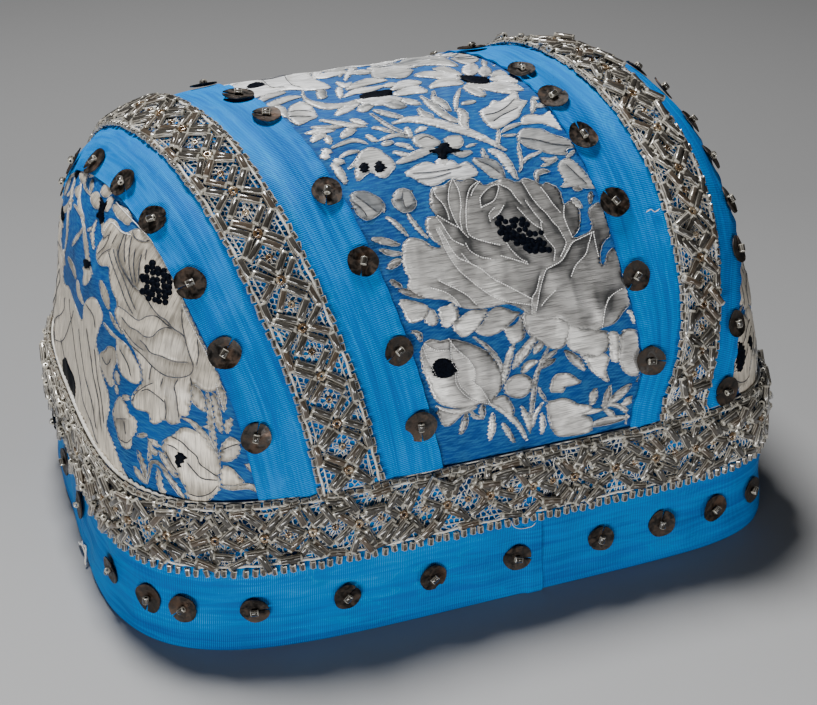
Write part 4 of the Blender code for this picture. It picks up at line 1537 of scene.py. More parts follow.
CENTER_EYES = (
    ((501, 236), (507, 230), (515, 233), (522, 238), (530, 240), (538, 244),
     (544, 249), (548, 254), (538, 254), (529, 251), (519, 246), (508, 241)),
    ((432, 372), (435, 363), (443, 360), (451, 362), (457, 371), (453, 377), (445, 380), (436, 378)),
    ((428, 153), (437, 150), (441, 145), (448, 144), (450, 149), (462, 152),
     (452, 154), (447, 155), (446, 160), (440, 160), (438, 155)),
    ((361, 165), (368, 165), (370, 171), (366, 174), (361, 172)),
    ((378, 162), (383, 165), (386, 169), (384, 173), (378, 174), (375, 170)),
    ((360, 97), (368, 94), (380, 92), (390, 91), (391, 95), (382, 98), (370, 99), (363, 100)),
    ((459, 78), (466, 77), (475, 78), (484, 79), (489, 82), (484, 85), (475, 85), (467, 83)),
    ((248, 88), (252, 85), (260, 84), (266, 86), (258, 88), (250, 89)),
)
LEFT_ROSE = (
    (111, 220), (117, 223), (121, 231), (128, 234), (134, 230), (142, 231), (150, 237),
    (157, 247), (163, 256), (169, 268), (176, 284), (184, 300), (194, 322), (206, 346),
    (216, 368), (223, 386), (214, 393), (204, 391), (195, 385), (193, 400), (189, 417),
    (182, 417), (180, 424), (172, 426), (165, 421), (158, 425), (151, 424), (148, 414),
    (136, 410), (132, 402), (134, 394), (138, 388), (142, 384), (142, 372), (138, 360),
    (134, 350), (126, 338), (119, 326), (115, 314), (117, 305), (111, 290), (109, 276),
    (109, 268), (101, 267), (96, 259), (97, 247), (103, 239), (101, 231), (106, 224),
)
LEFT_ROSE_LINES = (
    ((109, 252), (114, 268), (120, 285), (127, 303), (134, 316)),
    ((114, 250), (119, 266), (126, 284), (137, 312)),
    ((118, 250), (122, 266), (129, 280), (135, 290)),
    ((126, 233), (122, 245), (120, 258), (127, 275), (135, 287), (147, 298),
     (152, 307), (160, 317), (168, 322), (175, 330), (184, 336), (188, 343)),
    ((127, 235), (126, 250), (127, 265)), ((133, 237), (131, 255), (131, 270), (134, 285)),
    ((137, 250), (135, 268), (137, 285)), ((143, 255), (140, 270), (140, 285)), ((148, 250), (146, 262)),
    ((98, 262), (103, 255), (112, 250)), ((97, 256), (106, 246), (112, 232)), ((103, 241), (110, 236)),
    ((112, 246), (118, 235)), ((133, 232), (137, 240), (146, 243), (151, 241)),
    ((118, 307), (126, 312), (133, 318), (140, 322), (148, 318), (158, 318), (168, 326), (174, 330)),
    ((122, 318), (130, 328), (138, 332), (146, 338), (154, 338), (160, 332), (168, 329), (174, 331)),
    ((141, 341), (147, 347), (152, 354), (163, 358), (175, 363), (190, 364)),
    ((124, 330), (134, 343), (145, 352)),
    ((134, 348), (144, 357), (152, 366), (160, 373), (170, 378), (182, 379), (192, 376),
     (195, 368), (191, 356), (188, 345), (186, 335), (184, 322), (184, 310)),
    ((199, 340), (200, 355), (198, 368)), ((153, 366), (150, 382)), ((165, 378), (162, 388)),
    ((180, 380), (176, 388), (178, 398), (180, 420)), ((192, 378), (194, 388)),
    ((166, 400), (167, 412), (166, 421)),
    ((133, 404), (136, 395), (144, 389), (155, 384)), ((141, 393), (149, 391), (160, 398), (166, 404)),
)
LEFT_PATCHES = (
    ((117, 341), (121, 341), (128, 347), (134, 357), (139, 368), (141, 378),
     (138, 385), (133, 385), (127, 381), (121, 374), (118, 362)),
    ((163, 446), (167, 440), (175, 436), (182, 430), (190, 430), (200, 435), (208, 442),
     (214, 450), (220, 458), (222, 470), (220, 478), (222, 484), (220, 491), (212, 500),
     (203, 506), (190, 500), (188, 490), (183, 482), (178, 474), (171, 468), (166, 456)),
    ((222, 483), (224, 470), (229, 467), (236, 471), (241, 477), (246, 484), (236, 486), (228, 486)),
    ((221, 461), (222, 450), (228, 441), (233, 438), (240, 443),
     (242, 450), (240, 456), (234, 462), (227, 463)),
    ((194, 386), (203, 392), (207, 402), (207, 413), (200, 409), (193, 401)),
    ((100, 356), (105, 352), (108, 348), (114, 349), (117, 355), (118, 362), (114, 370),
     (112, 378), (114, 385), (110, 388), (107, 382), (104, 374), (101, 366)),
    ((114, 406), (119, 398), (124, 402), (128, 408), (130, 415), (136, 420), (137, 430),
     (132, 440), (131, 448), (126, 450), (121, 446), (118, 438), (115, 425), (113, 415)),
    ((63, 300), (70, 296), (76, 306), (82, 322), (86, 304), (93, 299), (99, 306),
     (103, 319), (98, 333), (96, 345), (100, 360), (104, 380), (108, 395), (109, 410),
     (107, 425), (111, 438), (115, 448), (118, 457), (123, 470), (128, 482), (115, 474),
     (98, 454), (85, 432), (72, 408), (62, 382), (57, 360), (58, 330)),
    ((107, 184), (113, 188), (110, 196), (104, 198), (101, 192)),
    ((91, 197), (98, 193), (100, 200), (98, 210), (93, 207)),
    ((109, 198), (114, 200), (111, 208), (106, 213), (104, 208)),
    ((114, 206), (124, 208), (130, 213), (132, 220), (128, 226), (122, 222), (117, 217)),
)
LEFT_LINES = (
    ((70, 300), (75, 340), (80, 380), (90, 420), (100, 445)), ((80, 330), (85, 370), (92, 400), (98, 430)),
    ((88, 330), (92, 360), (97, 390), (102, 430)), ((63, 340), (68, 372), (78, 405)),
    ((95, 350), (100, 390), (105, 425)),
    ((171, 437), (182, 443), (190, 451), (198, 458), (201, 465), (208, 470), (220, 478)),
    ((188, 463), (195, 471), (204, 479), (220, 481)), ((167, 452), (172, 462), (179, 472)),
    ((168, 445), (175, 448), (180, 452)),
    ((190, 494), (201, 497), (212, 494), (220, 486)), ((223, 452), (232, 448), (241, 445)),
    ((116, 420), (128, 420)),
    ((120, 441), (127, 444), (132, 440)), ((125, 422), (126, 436)), ((121, 350), (128, 364), (131, 378)),
    ((103, 358), (108, 366), (112, 360)), ((87, 306), (94, 318), (96, 330)),
)
LEFT_BLADES = (
    (5, (183, 419), (193, 424), (203, 434), (213, 447), (219, 458)),
    (5, (221, 487), (235, 489), (250, 487), (262, 492), (277, 501)),
    (5, (208, 391), (211, 405), (213, 425), (216, 445), (219, 456)),
    (7, (215, 393), (218, 410), (221, 425), (223, 435)),
    (6, (234, 419), (230, 427), (230, 435)), (4, (206, 428), (214, 429)),
    (7, (219, 382), (224, 398), (226, 413)),
    (6, (247, 465), (255, 470), (263, 479)), (4, (149, 439), (151, 450), (148, 463)),
    (4, (138, 451), (142, 465), (146, 481)),
    (4, (134, 467), (141, 478), (148, 485)),
    (3, (147, 486), (150, 466), (156, 463), (163, 468), (171, 479), (182, 492)),
    (5, (158, 469), (160, 485), (166, 499)), (4, (163, 471), (175, 485), (187, 501)),
    (4, (150, 440), (161, 448)),
    (4, (160, 451), (168, 465), (179, 479)), (6, (152, 450), (158, 456)), (5, (123, 397), (130, 401)),
    (4, (137, 437), (148, 436)),
    (2, (84, 172), (84, 185), (88, 193), (95, 200)), (2, (80, 182), (79, 200), (82, 220), (85, 236)),
    (5, (78, 187), (77, 199)),
    (1, (76, 178), (72, 195), (71, 212)), (3, (88, 178), (97, 172)),
    (3, (84, 224), (86, 245), (88, 262), (93, 276)),
    (2, (73, 248), (79, 236), (84, 228)), (3, (69, 259), (73, 270), (76, 281)),
    (1, (66, 250), (63, 270), (66, 298)),
    (1, (69, 200), (68, 225), (66, 250)), (2, (88, 233), (93, 228)), (2, (96, 221), (92, 235), (93, 251)),
    (7, (83, 269), (88, 275), (85, 287)), (5, (101, 282), (105, 297), (109, 311)),
    (2, (104, 324), (112, 335), (121, 342)),
    (2, (110, 313), (115, 325), (123, 336)), (3, (78, 282), (80, 295), (84, 306)),
    (4, (101, 222), (104, 229), (103, 237)),
    (3, (74, 206), (80, 213), (84, 224)), (4, (116, 372), (118, 386)), (3, (115, 386), (117, 396)),
    (3, (92, 180), (91, 194)),
)
LEFT_DOTS = (
    (143, 272), (147, 270), (150, 262), (156, 262), (158, 270), (165, 271), (170, 275),
    (174, 285), (174, 298), (168, 306), (160, 304), (152, 305), (146, 297), (140, 284),
)
LEFT_EYES = (
    ((177, 457), (180, 453), (186, 456), (188, 460), (184, 464), (181, 469), (177, 464)),
    ((64, 362), (68, 360), (72, 372), (77, 385), (77, 398), (72, 390), (66, 378)),
    ((101, 198), (104, 204), (108, 202), (106, 208), (103, 212), (104, 220), (101, 226), (99, 220), (96, 218),
     (99, 211), (100, 206)),
    ((84, 262), (89, 262), (91, 268), (86, 270)),
)
# Bright stitches along the left rose's edges where it catches the light: painted highlights
LEFT_GLINTS = (
    ((118, 204), (130, 218), (142, 230), (152, 241), (161, 254), (168, 268)),
    ((184, 306), (189, 318), (195, 330), (201, 341), (208, 354), (213, 366)),
    ((105, 232), (113, 224), (122, 233), (131, 236)), ((218, 385), (222, 398), (226, 412)),
    ((252, 462), (258, 472), (264, 481)),
)
RIGHT_PETALS = (
    ((733, 225), (739, 245), (745, 266), (751, 288), (753, 305),
     (748, 300), (744, 288), (741, 268), (736, 246)),
    ((748, 306), (754, 318), (756, 338), (752, 352), (748, 340), (750, 325), (745, 315)),
    ((751, 354), (757, 362), (759, 392), (742, 396), (738, 388), (746, 380), (750, 368)),
    ((736, 262), (740, 270), (741, 290), (744, 300), (738, 296), (736, 280)),
)
RIGHT_EYE = ((734, 346), (739, 344), (743, 352), (742, 366), (738, 374), (734, 366))

# Woven floats, their edge threads, stitches and knots
CENTER_SPACING = 0.00052
SIDE_SPACING = 0.00070
ROW_PITCH = 0.87
FLOAT_RISE = 0.00024
FLOAT_SHOULDER = 0.0005
FLOAT_LIP = 0.00007
FLOAT_SUNK = 0.00030
FLOAT_SHARP = math.radians(70)
FRAY = 0.00012
TOOTH = 0.00030
GROOVE_BASE = 0.25
EYE_RISE = 0.00045
EYE_BASE = 0.7
EDGE_SHADE = 0.25
EDGE_SHADE_REACH = 0.0007
LINE_SHADE = (0.25, 0.60)
LINE_SHADE_REACH = 0.0011
# Where a float's shade is drawn from: at its left end, at its right end, and what its top adds
SHADE_RANGES = ((-0.2, 0.55), (-0.2, 0.60), (-0.1, 0.25))
ROSE_SHADE = (-0.05, 0.62, 0.22)
ROSEBUD_SHADE = (-0.10, 0.42, 0.15)
VEINED_WIDTH = 7
STITCH_PITCH = 0.00060
STITCH_LIFT = 0.00033
STITCH_FORM = (0.00027, 0.00017, 0.00020)
STITCH_STEP = 0.0002
OUTLINE_RADIUS = 0.00016
CORD_RADIUS = 0.00008
CORD_PITCH = 0.0010
CORD_LIFT = 0.00010
DOT_PITCH = 0.00165
DOT_STRAY = 0.12
DOT_LIFT = 0.0001
DOT_FORM = (0.00092, 0.00086, 0.00036)
DOT_LEAN = (0.3, 0.2, 0.9)
REPEAT_FROM = 0.53
SIDE_REPEAT_FROM = 0.010
VIEW_GRID = 121


def smooth_line(points, pitch, closed=False):
    """A round line through points, sampled at a pitch in the points' own units."""
    points = np.asarray(points, float)
    if len(points) == 2:
        points = np.stack([points[0], points.mean(0), points[1]])
    if closed:
        knots = np.vstack([points[-1], points, points[:2]])
    else:
        knots = np.vstack([2 * points[0] - points[1], points, 2 * points[-1] - points[-2]])
    share = np.linspace(0, 1, 12, endpoint=False)[:, None]
    spans = []
    for a, b, c, d in zip(knots, knots[1:], knots[2:], knots[3:]):
        spans.append(0.5 * (2 * b + (c - a) * share + (2 * a - 5 * b + 4 * c - d) * share ** 2
                            + (3 * b - a - 3 * c + d) * share ** 3))
    line = np.vstack(spans + ([] if closed else [knots[-2:-1]]))
    whole = np.vstack([line, line[:1]]) if closed else line
    run = lengths(whole)
    count = max(int(run[-1] / pitch), 3)
    marks = np.linspace(0, run[-1], count + (0 if closed else 1), endpoint=not closed)
    return np.stack([np.interp(marks, run, whole[:, k]) for k in range(whole.shape[1])], -1)


class Drawing:
    """Carries photo pixels to a cloth's own coordinates."""

    def __init__(self, cloths):
        self.side, self.up, self.back, self.eye = (np.array(each) for each in view_axes())
        angles = np.linspace(0, math.pi, VIEW_GRID)
        opens = np.linspace(0, math.pi / 2, VIEW_GRID)
        ways = np.meshgrid(angles, opens, indexing="ij")
        cells = grid_faces(VIEW_GRID, VIEW_GRID)
        depth = np.full(ways[0].shape, -CLOTH_FACE)
        points, faces = joined([(layer(cloth.ray(*ways), depth).reshape(-1, 3), cells) for cloth in cloths])
        self.tree = BVHTree.FromPolygons(points.tolist(), faces.tolist())

    def places(self, pixels):
        found = []
        for x, y in pixels:
            across = (x - IMAGE_WIDTH / 2) / IMAGE_WIDTH / CAMERA_FOCUS
            rise = (IMAGE_HEIGHT / 2 - y) / IMAGE_WIDTH / CAMERA_FOCUS
            way = Vector(self.side * across + self.up * rise - self.back).normalized()
            hit = self.tree.ray_cast(Vector(self.eye), way)[0]
            if hit is None:
                middle = Vector((0, 0, 0.05)) - Vector(self.eye)
                hit = self.tree.find_nearest(Vector(self.eye) + way * middle.dot(way))[0]
            found.append(hit)
        return np.array(found)

    def on(self, cloth, pixels):
        return cloth.find(self.places(pixels))


def blade_outline(width, spine):
    """Outline of a leaf or stem from its width and middle line."""
    width = 1.05 * width + 0.4
    line = smooth_line(spine, 2.0)
    share = np.linspace(0, 1, len(line))
    across = unit(np.gradient(line, axis=0))[:, ::-1] * (-1, 1)
    half = width / 2 * np.clip(np.sin(math.pi * np.clip(share, 0.02, 0.98)), 0, 1)[:, None] ** 0.55
    return np.vstack([line + across * half, (line - across * half)[::-1]])


def inside_of(outline, points):
    x, y = points[:, 0], points[:, 1]
    within = np.zeros(len(points), bool)
    for (x0, y0), (x1, y1) in zip(outline, np.roll(outline, -1, 0)):
        if y0 != y1:
            crosses = (y0 > y) != (y1 > y)
            within ^= crosses & (x < (x1 - x0) * (y - y0) / (y1 - y0) + x0)
    return within


def distance_to(points, lines):
    """Distance from each point to the nearest of some sampled lines."""
    marks = np.vstack(lines)
    nearest = np.full(len(points), np.inf)
    for start in range(0, len(points), 2000):
        part = points[start:start + 2000, None] - marks[None]
        nearest[start:start + 2000] = np.sqrt((part ** 2).sum(-1).min(1))
    return nearest


def filled(outline, spacing, draw):
    """Points and triangles that fill an outline in the flat, with the frayed edge of a woven float."""
    outline = smooth_line(outline, spacing, closed=True)
    outline[:, 0] += [draw.gauss(0, FRAY) for _ in outline]
    outline[::2, 0] += TOOTH
    outline[1::2, 0] -= TOOTH
    low, high = outline.min(0), outline.max(0)
    u, v = np.meshgrid(np.arange(low[0], high[0], spacing), np.arange(low[1], high[1], spacing * ROW_PITCH))
    u[1::2] += spacing / 2
    grid = np.stack([u.ravel(), v.ravel()], -1)
    grid = grid[inside_of(outline, grid)]
    if len(grid):
        grid = grid[distance_to(grid, [outline]) > spacing * 0.6]
    every = np.vstack([outline, grid]) / MM
    edges = [(k, (k + 1) % len(outline)) for k in range(len(outline))]
    made = geometry.delaunay_2d_cdt([Vector(p) for p in every], edges, [], 1, 1e-4)
    points = np.array([tuple(p) for p in made[0]]) * MM
    faces = np.array([face for face in made[2] if len(face) == 3])
    corners = points[faces]
    first, second = corners[:, 1] - corners[:, 0], corners[:, 2] - corners[:, 0]
    turned_over = first[:, 0] * second[:, 1] - first[:, 1] * second[:, 0] < 0
    faces[turned_over] = faces[turned_over][:, ::-1]
    return points, faces, outline


def beside(points, line, amount):
    """A shade that is strongest beside one side of a line and fades away from it."""
    apart = points[:, None] - line[None]
    distance = np.sqrt((apart ** 2).sum(-1))
    nearest = distance.argmin(1)
    way = np.gradient(line, axis=0)[nearest]
    gap = apart[np.arange(len(points)), nearest]
    turn = np.sign(way[:, 0] * gap[:, 1] - way[:, 1] * gap[:, 0])
    fade = np.exp(-distance.min(1) / LINE_SHADE_REACH)
    return np.where(turn == np.sign(amount), abs(amount), 0.0) * fade


def rounded(distance):
    """The share of a float's full height at a distance from where it is held down."""
    return 1 - (1 - np.clip(distance / FLOAT_SHOULDER, 0, 1)) ** 2


def outer_edges(faces):
    """The directed edges that only one triangle has."""
    pairs = np.concatenate([faces[:, [0, 1]], faces[:, [1, 2]], faces[:, [2, 0]]]).tolist()
    keys = {(a, b) for a, b in pairs}
    return np.array([(a, b) for a, b in pairs if (b, a) not in keys])


def raised(cloth, cover, outline, lines, rise, shade, draw, spacing):
    """A pillow over an outline, its walls sunk in the cloth, pressed in along its lines, and its shade."""
    flat, faces, border = filled(outline, spacing, draw)
    form = cloth.form(flat)
    faces = faces[~cover.hides(form)[faces].any(1)]
    if not len(faces):
        return None
    edge = distance_to(flat, [border])
    height = rounded(edge)
    across, along = ((flat[:, k] - flat[:, k].min()) / max(np.ptp(flat[:, k]), NUDGE) for k in range(2))
    left, right, top = shade
    # painted shade: darker near the float's edge, from left to right across it, towards its top, and beside
    # its lines
    tone = EDGE_SHADE * np.clip(1 - edge / EDGE_SHADE_REACH, 0, 1) ** 2
    tone = tone + left + (right - left) * across + top * along
    if lines:
        height = np.minimum(height, GROOVE_BASE + (1 - GROOVE_BASE) * rounded(distance_to(flat, lines)))
        for line in lines:
            tone = tone + beside(flat, line, draw.choice((-1, 1)) * draw.uniform(*LINE_SHADE))
    if rise > FLOAT_RISE:
        height = EYE_BASE + (1 - EYE_BASE) * height
    depth = cloth.depth(form)
    face = layer(form, FLOAT_LIP + rise * height - depth)
    back = layer(form, -FLOAT_SUNK - depth)
    a, b, c = faces[0]
    if np.cross(face[b] - face[a], face[c] - face[a]) @ (face[a] - back[a]) < 0:
        faces = faces[:, ::-1]
    rim = outer_edges(faces)
    walls = np.stack([rim[:, 1], rim[:, 0], rim[:, 0] + len(flat), rim[:, 1] + len(flat)], -1)
    cells = faces.tolist() + walls.tolist()
    return np.concatenate([face, back]), cells, np.concatenate([flat, flat]), np.concatenate([tone, tone])


def woven(name, form, finish):
    """A piece of the brocade from points and faces."""
    made = sewn(name, form, finish)


class Weaving:
    """Collects what is woven on one cloth, and makes its pieces."""

    def __init__(self, cloth, cover, drawing, spacing):
        self.cloth = cloth
        self.cover = cover
        self.drawing = drawing
        self.spacing = spacing
        self.draw = random.Random(7)
        self.shapes = {}
        self.lines = {}
        self.dots = []

    def stitched(self, line):
        """A drawn line in the cloth's coordinates, with a point for each stitch."""
        return smooth_line(self.drawing.on(self.cloth, line), STITCH_PITCH)

    def patch(self, kind, pixels, lines=(), rise=FLOAT_RISE, shade=None):
        """A woven shape, with its shade at its left and right ends and what its top adds."""
        outline = self.drawing.on(self.cloth, pixels)
        within = [self.stitched(line) for line in lines]
        if shade is None:
            shade = [self.draw.uniform(*ends) for ends in SHADE_RANGES]
        self.shapes.setdefault(kind, []).append((outline, within, rise, shade))

    def patches(self, kind, outlines, lines=(), rise=FLOAT_RISE):
        for outline in outlines:
            self.patch(kind, outline, lines, rise)

    def blades(self, kind, rows, veined_width=math.inf):
        """Leaves and stems, with a vein along the middle of the wide ones."""
        for width, *spine in rows:
            self.patch(kind, blade_outline(width, spine), [spine] if width >= veined_width else ())

    def stitches(self, kind, lines):
        self.lines.setdefault(kind, []).extend([self.stitched(line) for line in lines])

    def cluster(self, pixels):
        """Knots in staggered rows over an outline."""
        outline = self.drawing.on(self.cloth, pixels)
        low, high = outline.min(0), outline.max(0)
        draw = random.Random(len(pixels))
        stray = DOT_PITCH * DOT_STRAY
        for j, v in enumerate(np.arange(low[1], high[1] + DOT_PITCH / 2, DOT_PITCH * ROW_PITCH)):
            for u in np.arange(low[0] + (j % 2) * DOT_PITCH / 2, high[0], DOT_PITCH):
                spot = np.array([[u + draw.gauss(0, stray), v + draw.gauss(0, stray)]])
                if inside_of(outline, spot)[0]:
                    self.dots.append((spot[0], draw.uniform(0.85, 1.15)))

    def repeated(self, turn, keep):
        """The same motifs again where the camera doesn't see, turned by a rule of the cloth's coordinates."""
        for shapes in self.shapes.values():
            shapes.extend([(turn(outline), [turn(line) for line in lines], *rest)
                           for outline, lines, *rest in shapes if keep(turn(outline).mean(0))])
        for lines in self.lines.values():
            lines.extend([turn(line) for line in lines if keep(turn(line).mean(0))])
        self.dots.extend([(turn(spot[None])[0], size) for spot, size in self.dots
                          if keep(turn(spot[None])[0])])

    def pieces(self, name, finishes):
        for kind, shapes in self.shapes.items():
            self.floats(kind + "_" + name, shapes, finishes[kind])
        self.cords(name, finishes["cord"])
        for kind, lines in self.lines.items():
            place, along, out, seen = self.stitch_axes(lines)
            if kind == "edge":
                axes = (each[seen] for each in (place, along, np.cross(out, along), out))
                form = scatter(ball_form(STITCH_FORM, 5, 3), *axes)
            else:
                form = self.outlines(lines, place, out, seen)
            woven("stitches_" + kind + "_" + name, form, finishes[kind])
        if self.dots:
            self.knots(name, finishes["dark"])

    def floats(self, name, shapes, finish):
        """The woven shapes of one kind, as one piece."""
        spacing = self.spacing
        draw = random.Random(len(shapes))
        points, cells, flats, tones, start = [], [], [], [], 0
        for shape in shapes:
            shown = raised(self.cloth, self.cover, *shape, draw, spacing)
            if shown is None:
                continue
            place, faces, flat, tone = shown
            points.append(place)
            flats.append(flat)
            tones.append(tone)
            cells += [[corner + start for corner in face] for face in faces]
            start += len(place)
        made = piece("woven_" + name, np.concatenate(points), cells, finish, np.concatenate(flats),
                     attribute=np.clip(np.concatenate(tones), 0, 1))
        made.data.set_sharp_from_angle(angle=FLOAT_SHARP)

    def cords(self, name, finish):
        """The bright frayed edge threads round the woven shapes."""
        draw = random.Random(3)
        outlines = [shape[0] for kind, shapes in self.shapes.items() for shape in shapes if kind != "dark"]
        parts = []
        for outline in outlines:
            ring = smooth_line(outline, CORD_PITCH, closed=True)
            ring[:, 0] += [draw.gauss(0, FRAY) for _ in ring]
            ring = np.vstack([ring, ring[:1]])
            form = self.cloth.form(ring)
            lift = drawn(draw, len(ring), 0.4, 1.5) * CORD_RADIUS - self.cloth.depth(form)
            points, cells = tube(layer(form, lift + CORD_LIFT), form_normal(form), CORD_RADIUS, 3)
            hidden = np.repeat(self.cover.hides(form), 3)
            parts.append((points, cells[~hidden[cells].any(1)]))
        woven("cords_" + name, joined(parts), finish)

    def stitch_axes(self, lines):
        """For each stitch of some lines: its place, its axes along and out, and whether it shows."""
        flats = np.vstack(lines)
        ways = np.vstack([np.gradient(line, axis=0) for line in lines])
        base = self.cloth.form(flats)
        out = form_normal(base)
        none = np.zeros(len(flats))
        along = layer(self.cloth.form(flats + unit(ways) * STITCH_STEP), none) - layer(base, none)
        along -= (along * out).sum(-1, keepdims=True) * out
        place = layer(base, STITCH_LIFT - self.cloth.depth(base))
        return place, unit(along), out, ~self.cover.hides(base)

    def outlines(self, lines, place, out, seen):
        """One dark thread along each line, where it shows."""
        ends = np.cumsum([len(line) for line in lines])[:-1]
        parts = []
        for line, ups, shows in zip(*(np.split(each, ends) for each in (place, out, seen))):
            points, cells = tube(line, ups, OUTLINE_RADIUS, 3)
            parts.append((points, cells[np.repeat(shows, 3)[cells].all(1)]))
        return joined(parts)

    def knots(self, name, finish):
        flats = np.array([spot for spot, _ in self.dots])
        sizes = np.array([[size] * 3 for _, size in self.dots])
        base = self.cloth.form(flats)
        seen = ~self.cover.hides(base)
        base, sizes = base[seen], sizes[seen]
        out = form_normal(base)
        side = unit(np.cross(out, DOT_LEAN))
        place = layer(base, FLOAT_RISE + DOT_LIFT - self.cloth.depth(base))
        form = scatter(ball_form(DOT_FORM, 9, 4), place, side, np.cross(out, side), out, sizes)
        woven("knots_" + name, form, finish)


def woven_silver(name, turn, metallic, bright, shade):
    """Silk floats that shine like silver: streaks along the thread, painted sheen in bands across it, and the
    attribute tone for the painted shade, from a painted highlight colour through bright to shade.
    """
    rotation = 0.0 if turn else 0.25
    silver = Finish(name, 0.40, Metallic=metallic, Anisotropic=0.75, Anisotropic_Rotation=rotation)
    tangent = silver.node("ShaderNodeTangent", direction_type="UV_MAP", uv_map="UVMap").outputs[0]
    silver.link(tangent, "Tangent")

    def streaked(stretched, scale, detail, distortion, along=True):
        """Noise drawn out along the threads, or across them."""
        drawn_out = (1, stretched, 1) if turn == along else (stretched, 1, 1)
        return silver.noise(silver.place(scale=drawn_out), scale, detail, distortion)

    threads = streaked(0.05, 3800.0, 2.0, 0.1)
    coarse = streaked(0.14, 900.0, 2.0, 0.2)
    broad = silver.noise(silver.place(), 110.0, 3.0, 0.5)
    # painted sheen: bands across the threads that lighten and darken the colour
    sheen = streaked(0.45, 190.0, 1.0, 0.8, along=False)
    tone = silver.node("ShaderNodeAttribute", attribute_name="tone").outputs["Fac"]
    swing = silver.sum(silver.sum(sheen, 0.52, "SUBTRACT"), metallic + 0.35, "MULTIPLY")
    # painted highlight colour, paler than bright, where tone and sheen are lowest
    light = tuple(min(c * 1.45, 0.95) for c in bright)
    colour = silver.ramp(silver.sum(tone, swing), ((0.04, light), (0.22, bright), (0.85, shade)))
    streaks = silver.ramp(coarse, ((0.36, 0.66), (0.50, 0.92), (0.66, 1.0)))
    colour = silver.mix(1.0, colour, streaks, "MULTIPLY")
    gaps = silver.ramp(threads, ((0.36, 0.50), (0.50, 0.0)))
    colour = silver.mix(gaps, colour, tuple(c * 0.5 for c in shade))
    silver.link(colour, "Base Color")
    silver.link(silver.ramp(broad, ((0.35, 0.30), (0.65, 0.48))), "Roughness")
    silver.relief(silver.sum(threads, coarse), 0.00010, 0.9)
    return silver.material


def speckled_thread(name, roughness, scale, stops, bump=0.0, **sockets):
    thread = Finish(name, roughness, **sockets)
    spots = thread.noise(thread.place("Object"), scale)
    thread.link(thread.ramp(spots, stops), "Base Color")
    if bump:
        thread.relief(spots, bump)
    return thread.material


def woven_finishes():
    silver = woven_silver("silver_floats", False, 0.55, (0.66, 0.64, 0.61), (0.10, 0.10, 0.10))
    cream = woven_silver("cream_floats", False, 0.15, (0.70, 0.69, 0.66), (0.20, 0.21, 0.22))
    aged = woven_silver("cream_floats_side", True, 0.05, (0.54, 0.485, 0.40), (0.19, 0.17, 0.14))
    edge = speckled_thread("stitch_thread", 0.3, 900.0,
                           ((0.3, (0.74, 0.73, 0.71)), (0.6, (0.96, 0.95, 0.93))), Metallic=0.3)
    cord = speckled_thread("float_edge_thread", 0.35, 500.0,
                           ((0.35, (0.24, 0.25, 0.26)), (0.65, (0.72, 0.71, 0.68))), Metallic=0.3)
    shade = speckled_thread("outline_thread", 0.6, 900.0,
                            ((0.38, (0.02, 0.03, 0.05)), (0.75, (0.16, 0.15, 0.14))))
    dark = speckled_thread("dark_thread", 0.55, 1800.0,
                           ((0.35, (0.001, 0.0015, 0.003)), (0.70, (0.004, 0.006, 0.012))), 0.00008,
                           Specular_IOR_Level=0.03)
    shared = {"edge": edge, "shade": shade, "dark": dark, "cord": cord}
    return {"silver": silver, "cream": cream, **shared}, {"cream": aged, **shared}


def center_motifs(cloth, cover, drawing, finishes):
    middle = Weaving(cloth, cover, drawing, CENTER_SPACING)
    middle.patch("silver", ROSE, ROSE_LINES, shade=ROSE_SHADE)
    middle.patch("silver", ROSEBUD, ROSEBUD_LINES, shade=ROSEBUD_SHADE)
    middle.patches("silver", CENTER_LEAVES)
    middle.blades("silver", CENTER_BLADES, VEINED_WIDTH)
    middle.patches("cream", CROWN_PATCHES, CROWN_LINES)
    middle.blades("cream", CROWN_BLADES, VEINED_WIDTH)
    middle.stitches("edge", ROSE_LINES + ROSEBUD_LINES)
    middle.stitches("shade", CROWN_LINES)
    middle.cluster(CENTER_DOTS)
    middle.patches("dark", CENTER_EYES, rise=EYE_RISE)
    whole = cloth.run[-1]
    middle.repeated(lambda flat: flat * (-1, -1) + (0, whole), lambda spot: spot[1] > REPEAT_FROM * whole)
    middle.pieces("center", finishes)


def side_motifs(left, cloth, name, cover, drawing, finishes):
    """A side piece's motifs. The photo shows the left piece, so they are placed on it and carried over."""
    end = Weaving(left, cover, drawing, SIDE_SPACING)
    end.patch("cream", LEFT_ROSE, LEFT_ROSE_LINES)
    end.patches("cream", LEFT_PATCHES, LEFT_LINES)
    end.blades("cream", LEFT_BLADES)
    end.stitches("shade", LEFT_ROSE_LINES + LEFT_LINES)
    # the glint lines are bright stitches laid as painted highlights
    end.stitches("edge", LEFT_GLINTS)
    end.cluster(LEFT_DOTS)
    end.patches("dark", LEFT_EYES, rise=EYE_RISE)
    end.repeated(lambda flat: flat * (-1, 1), lambda spot: spot[0] > SIDE_REPEAT_FROM)
    end.cloth = cloth
    if name == "right":
        end.patches("cream", RIGHT_PETALS)
        end.patch("dark", RIGHT_EYE, (), EYE_RISE)
    end.pieces(name, finishes)
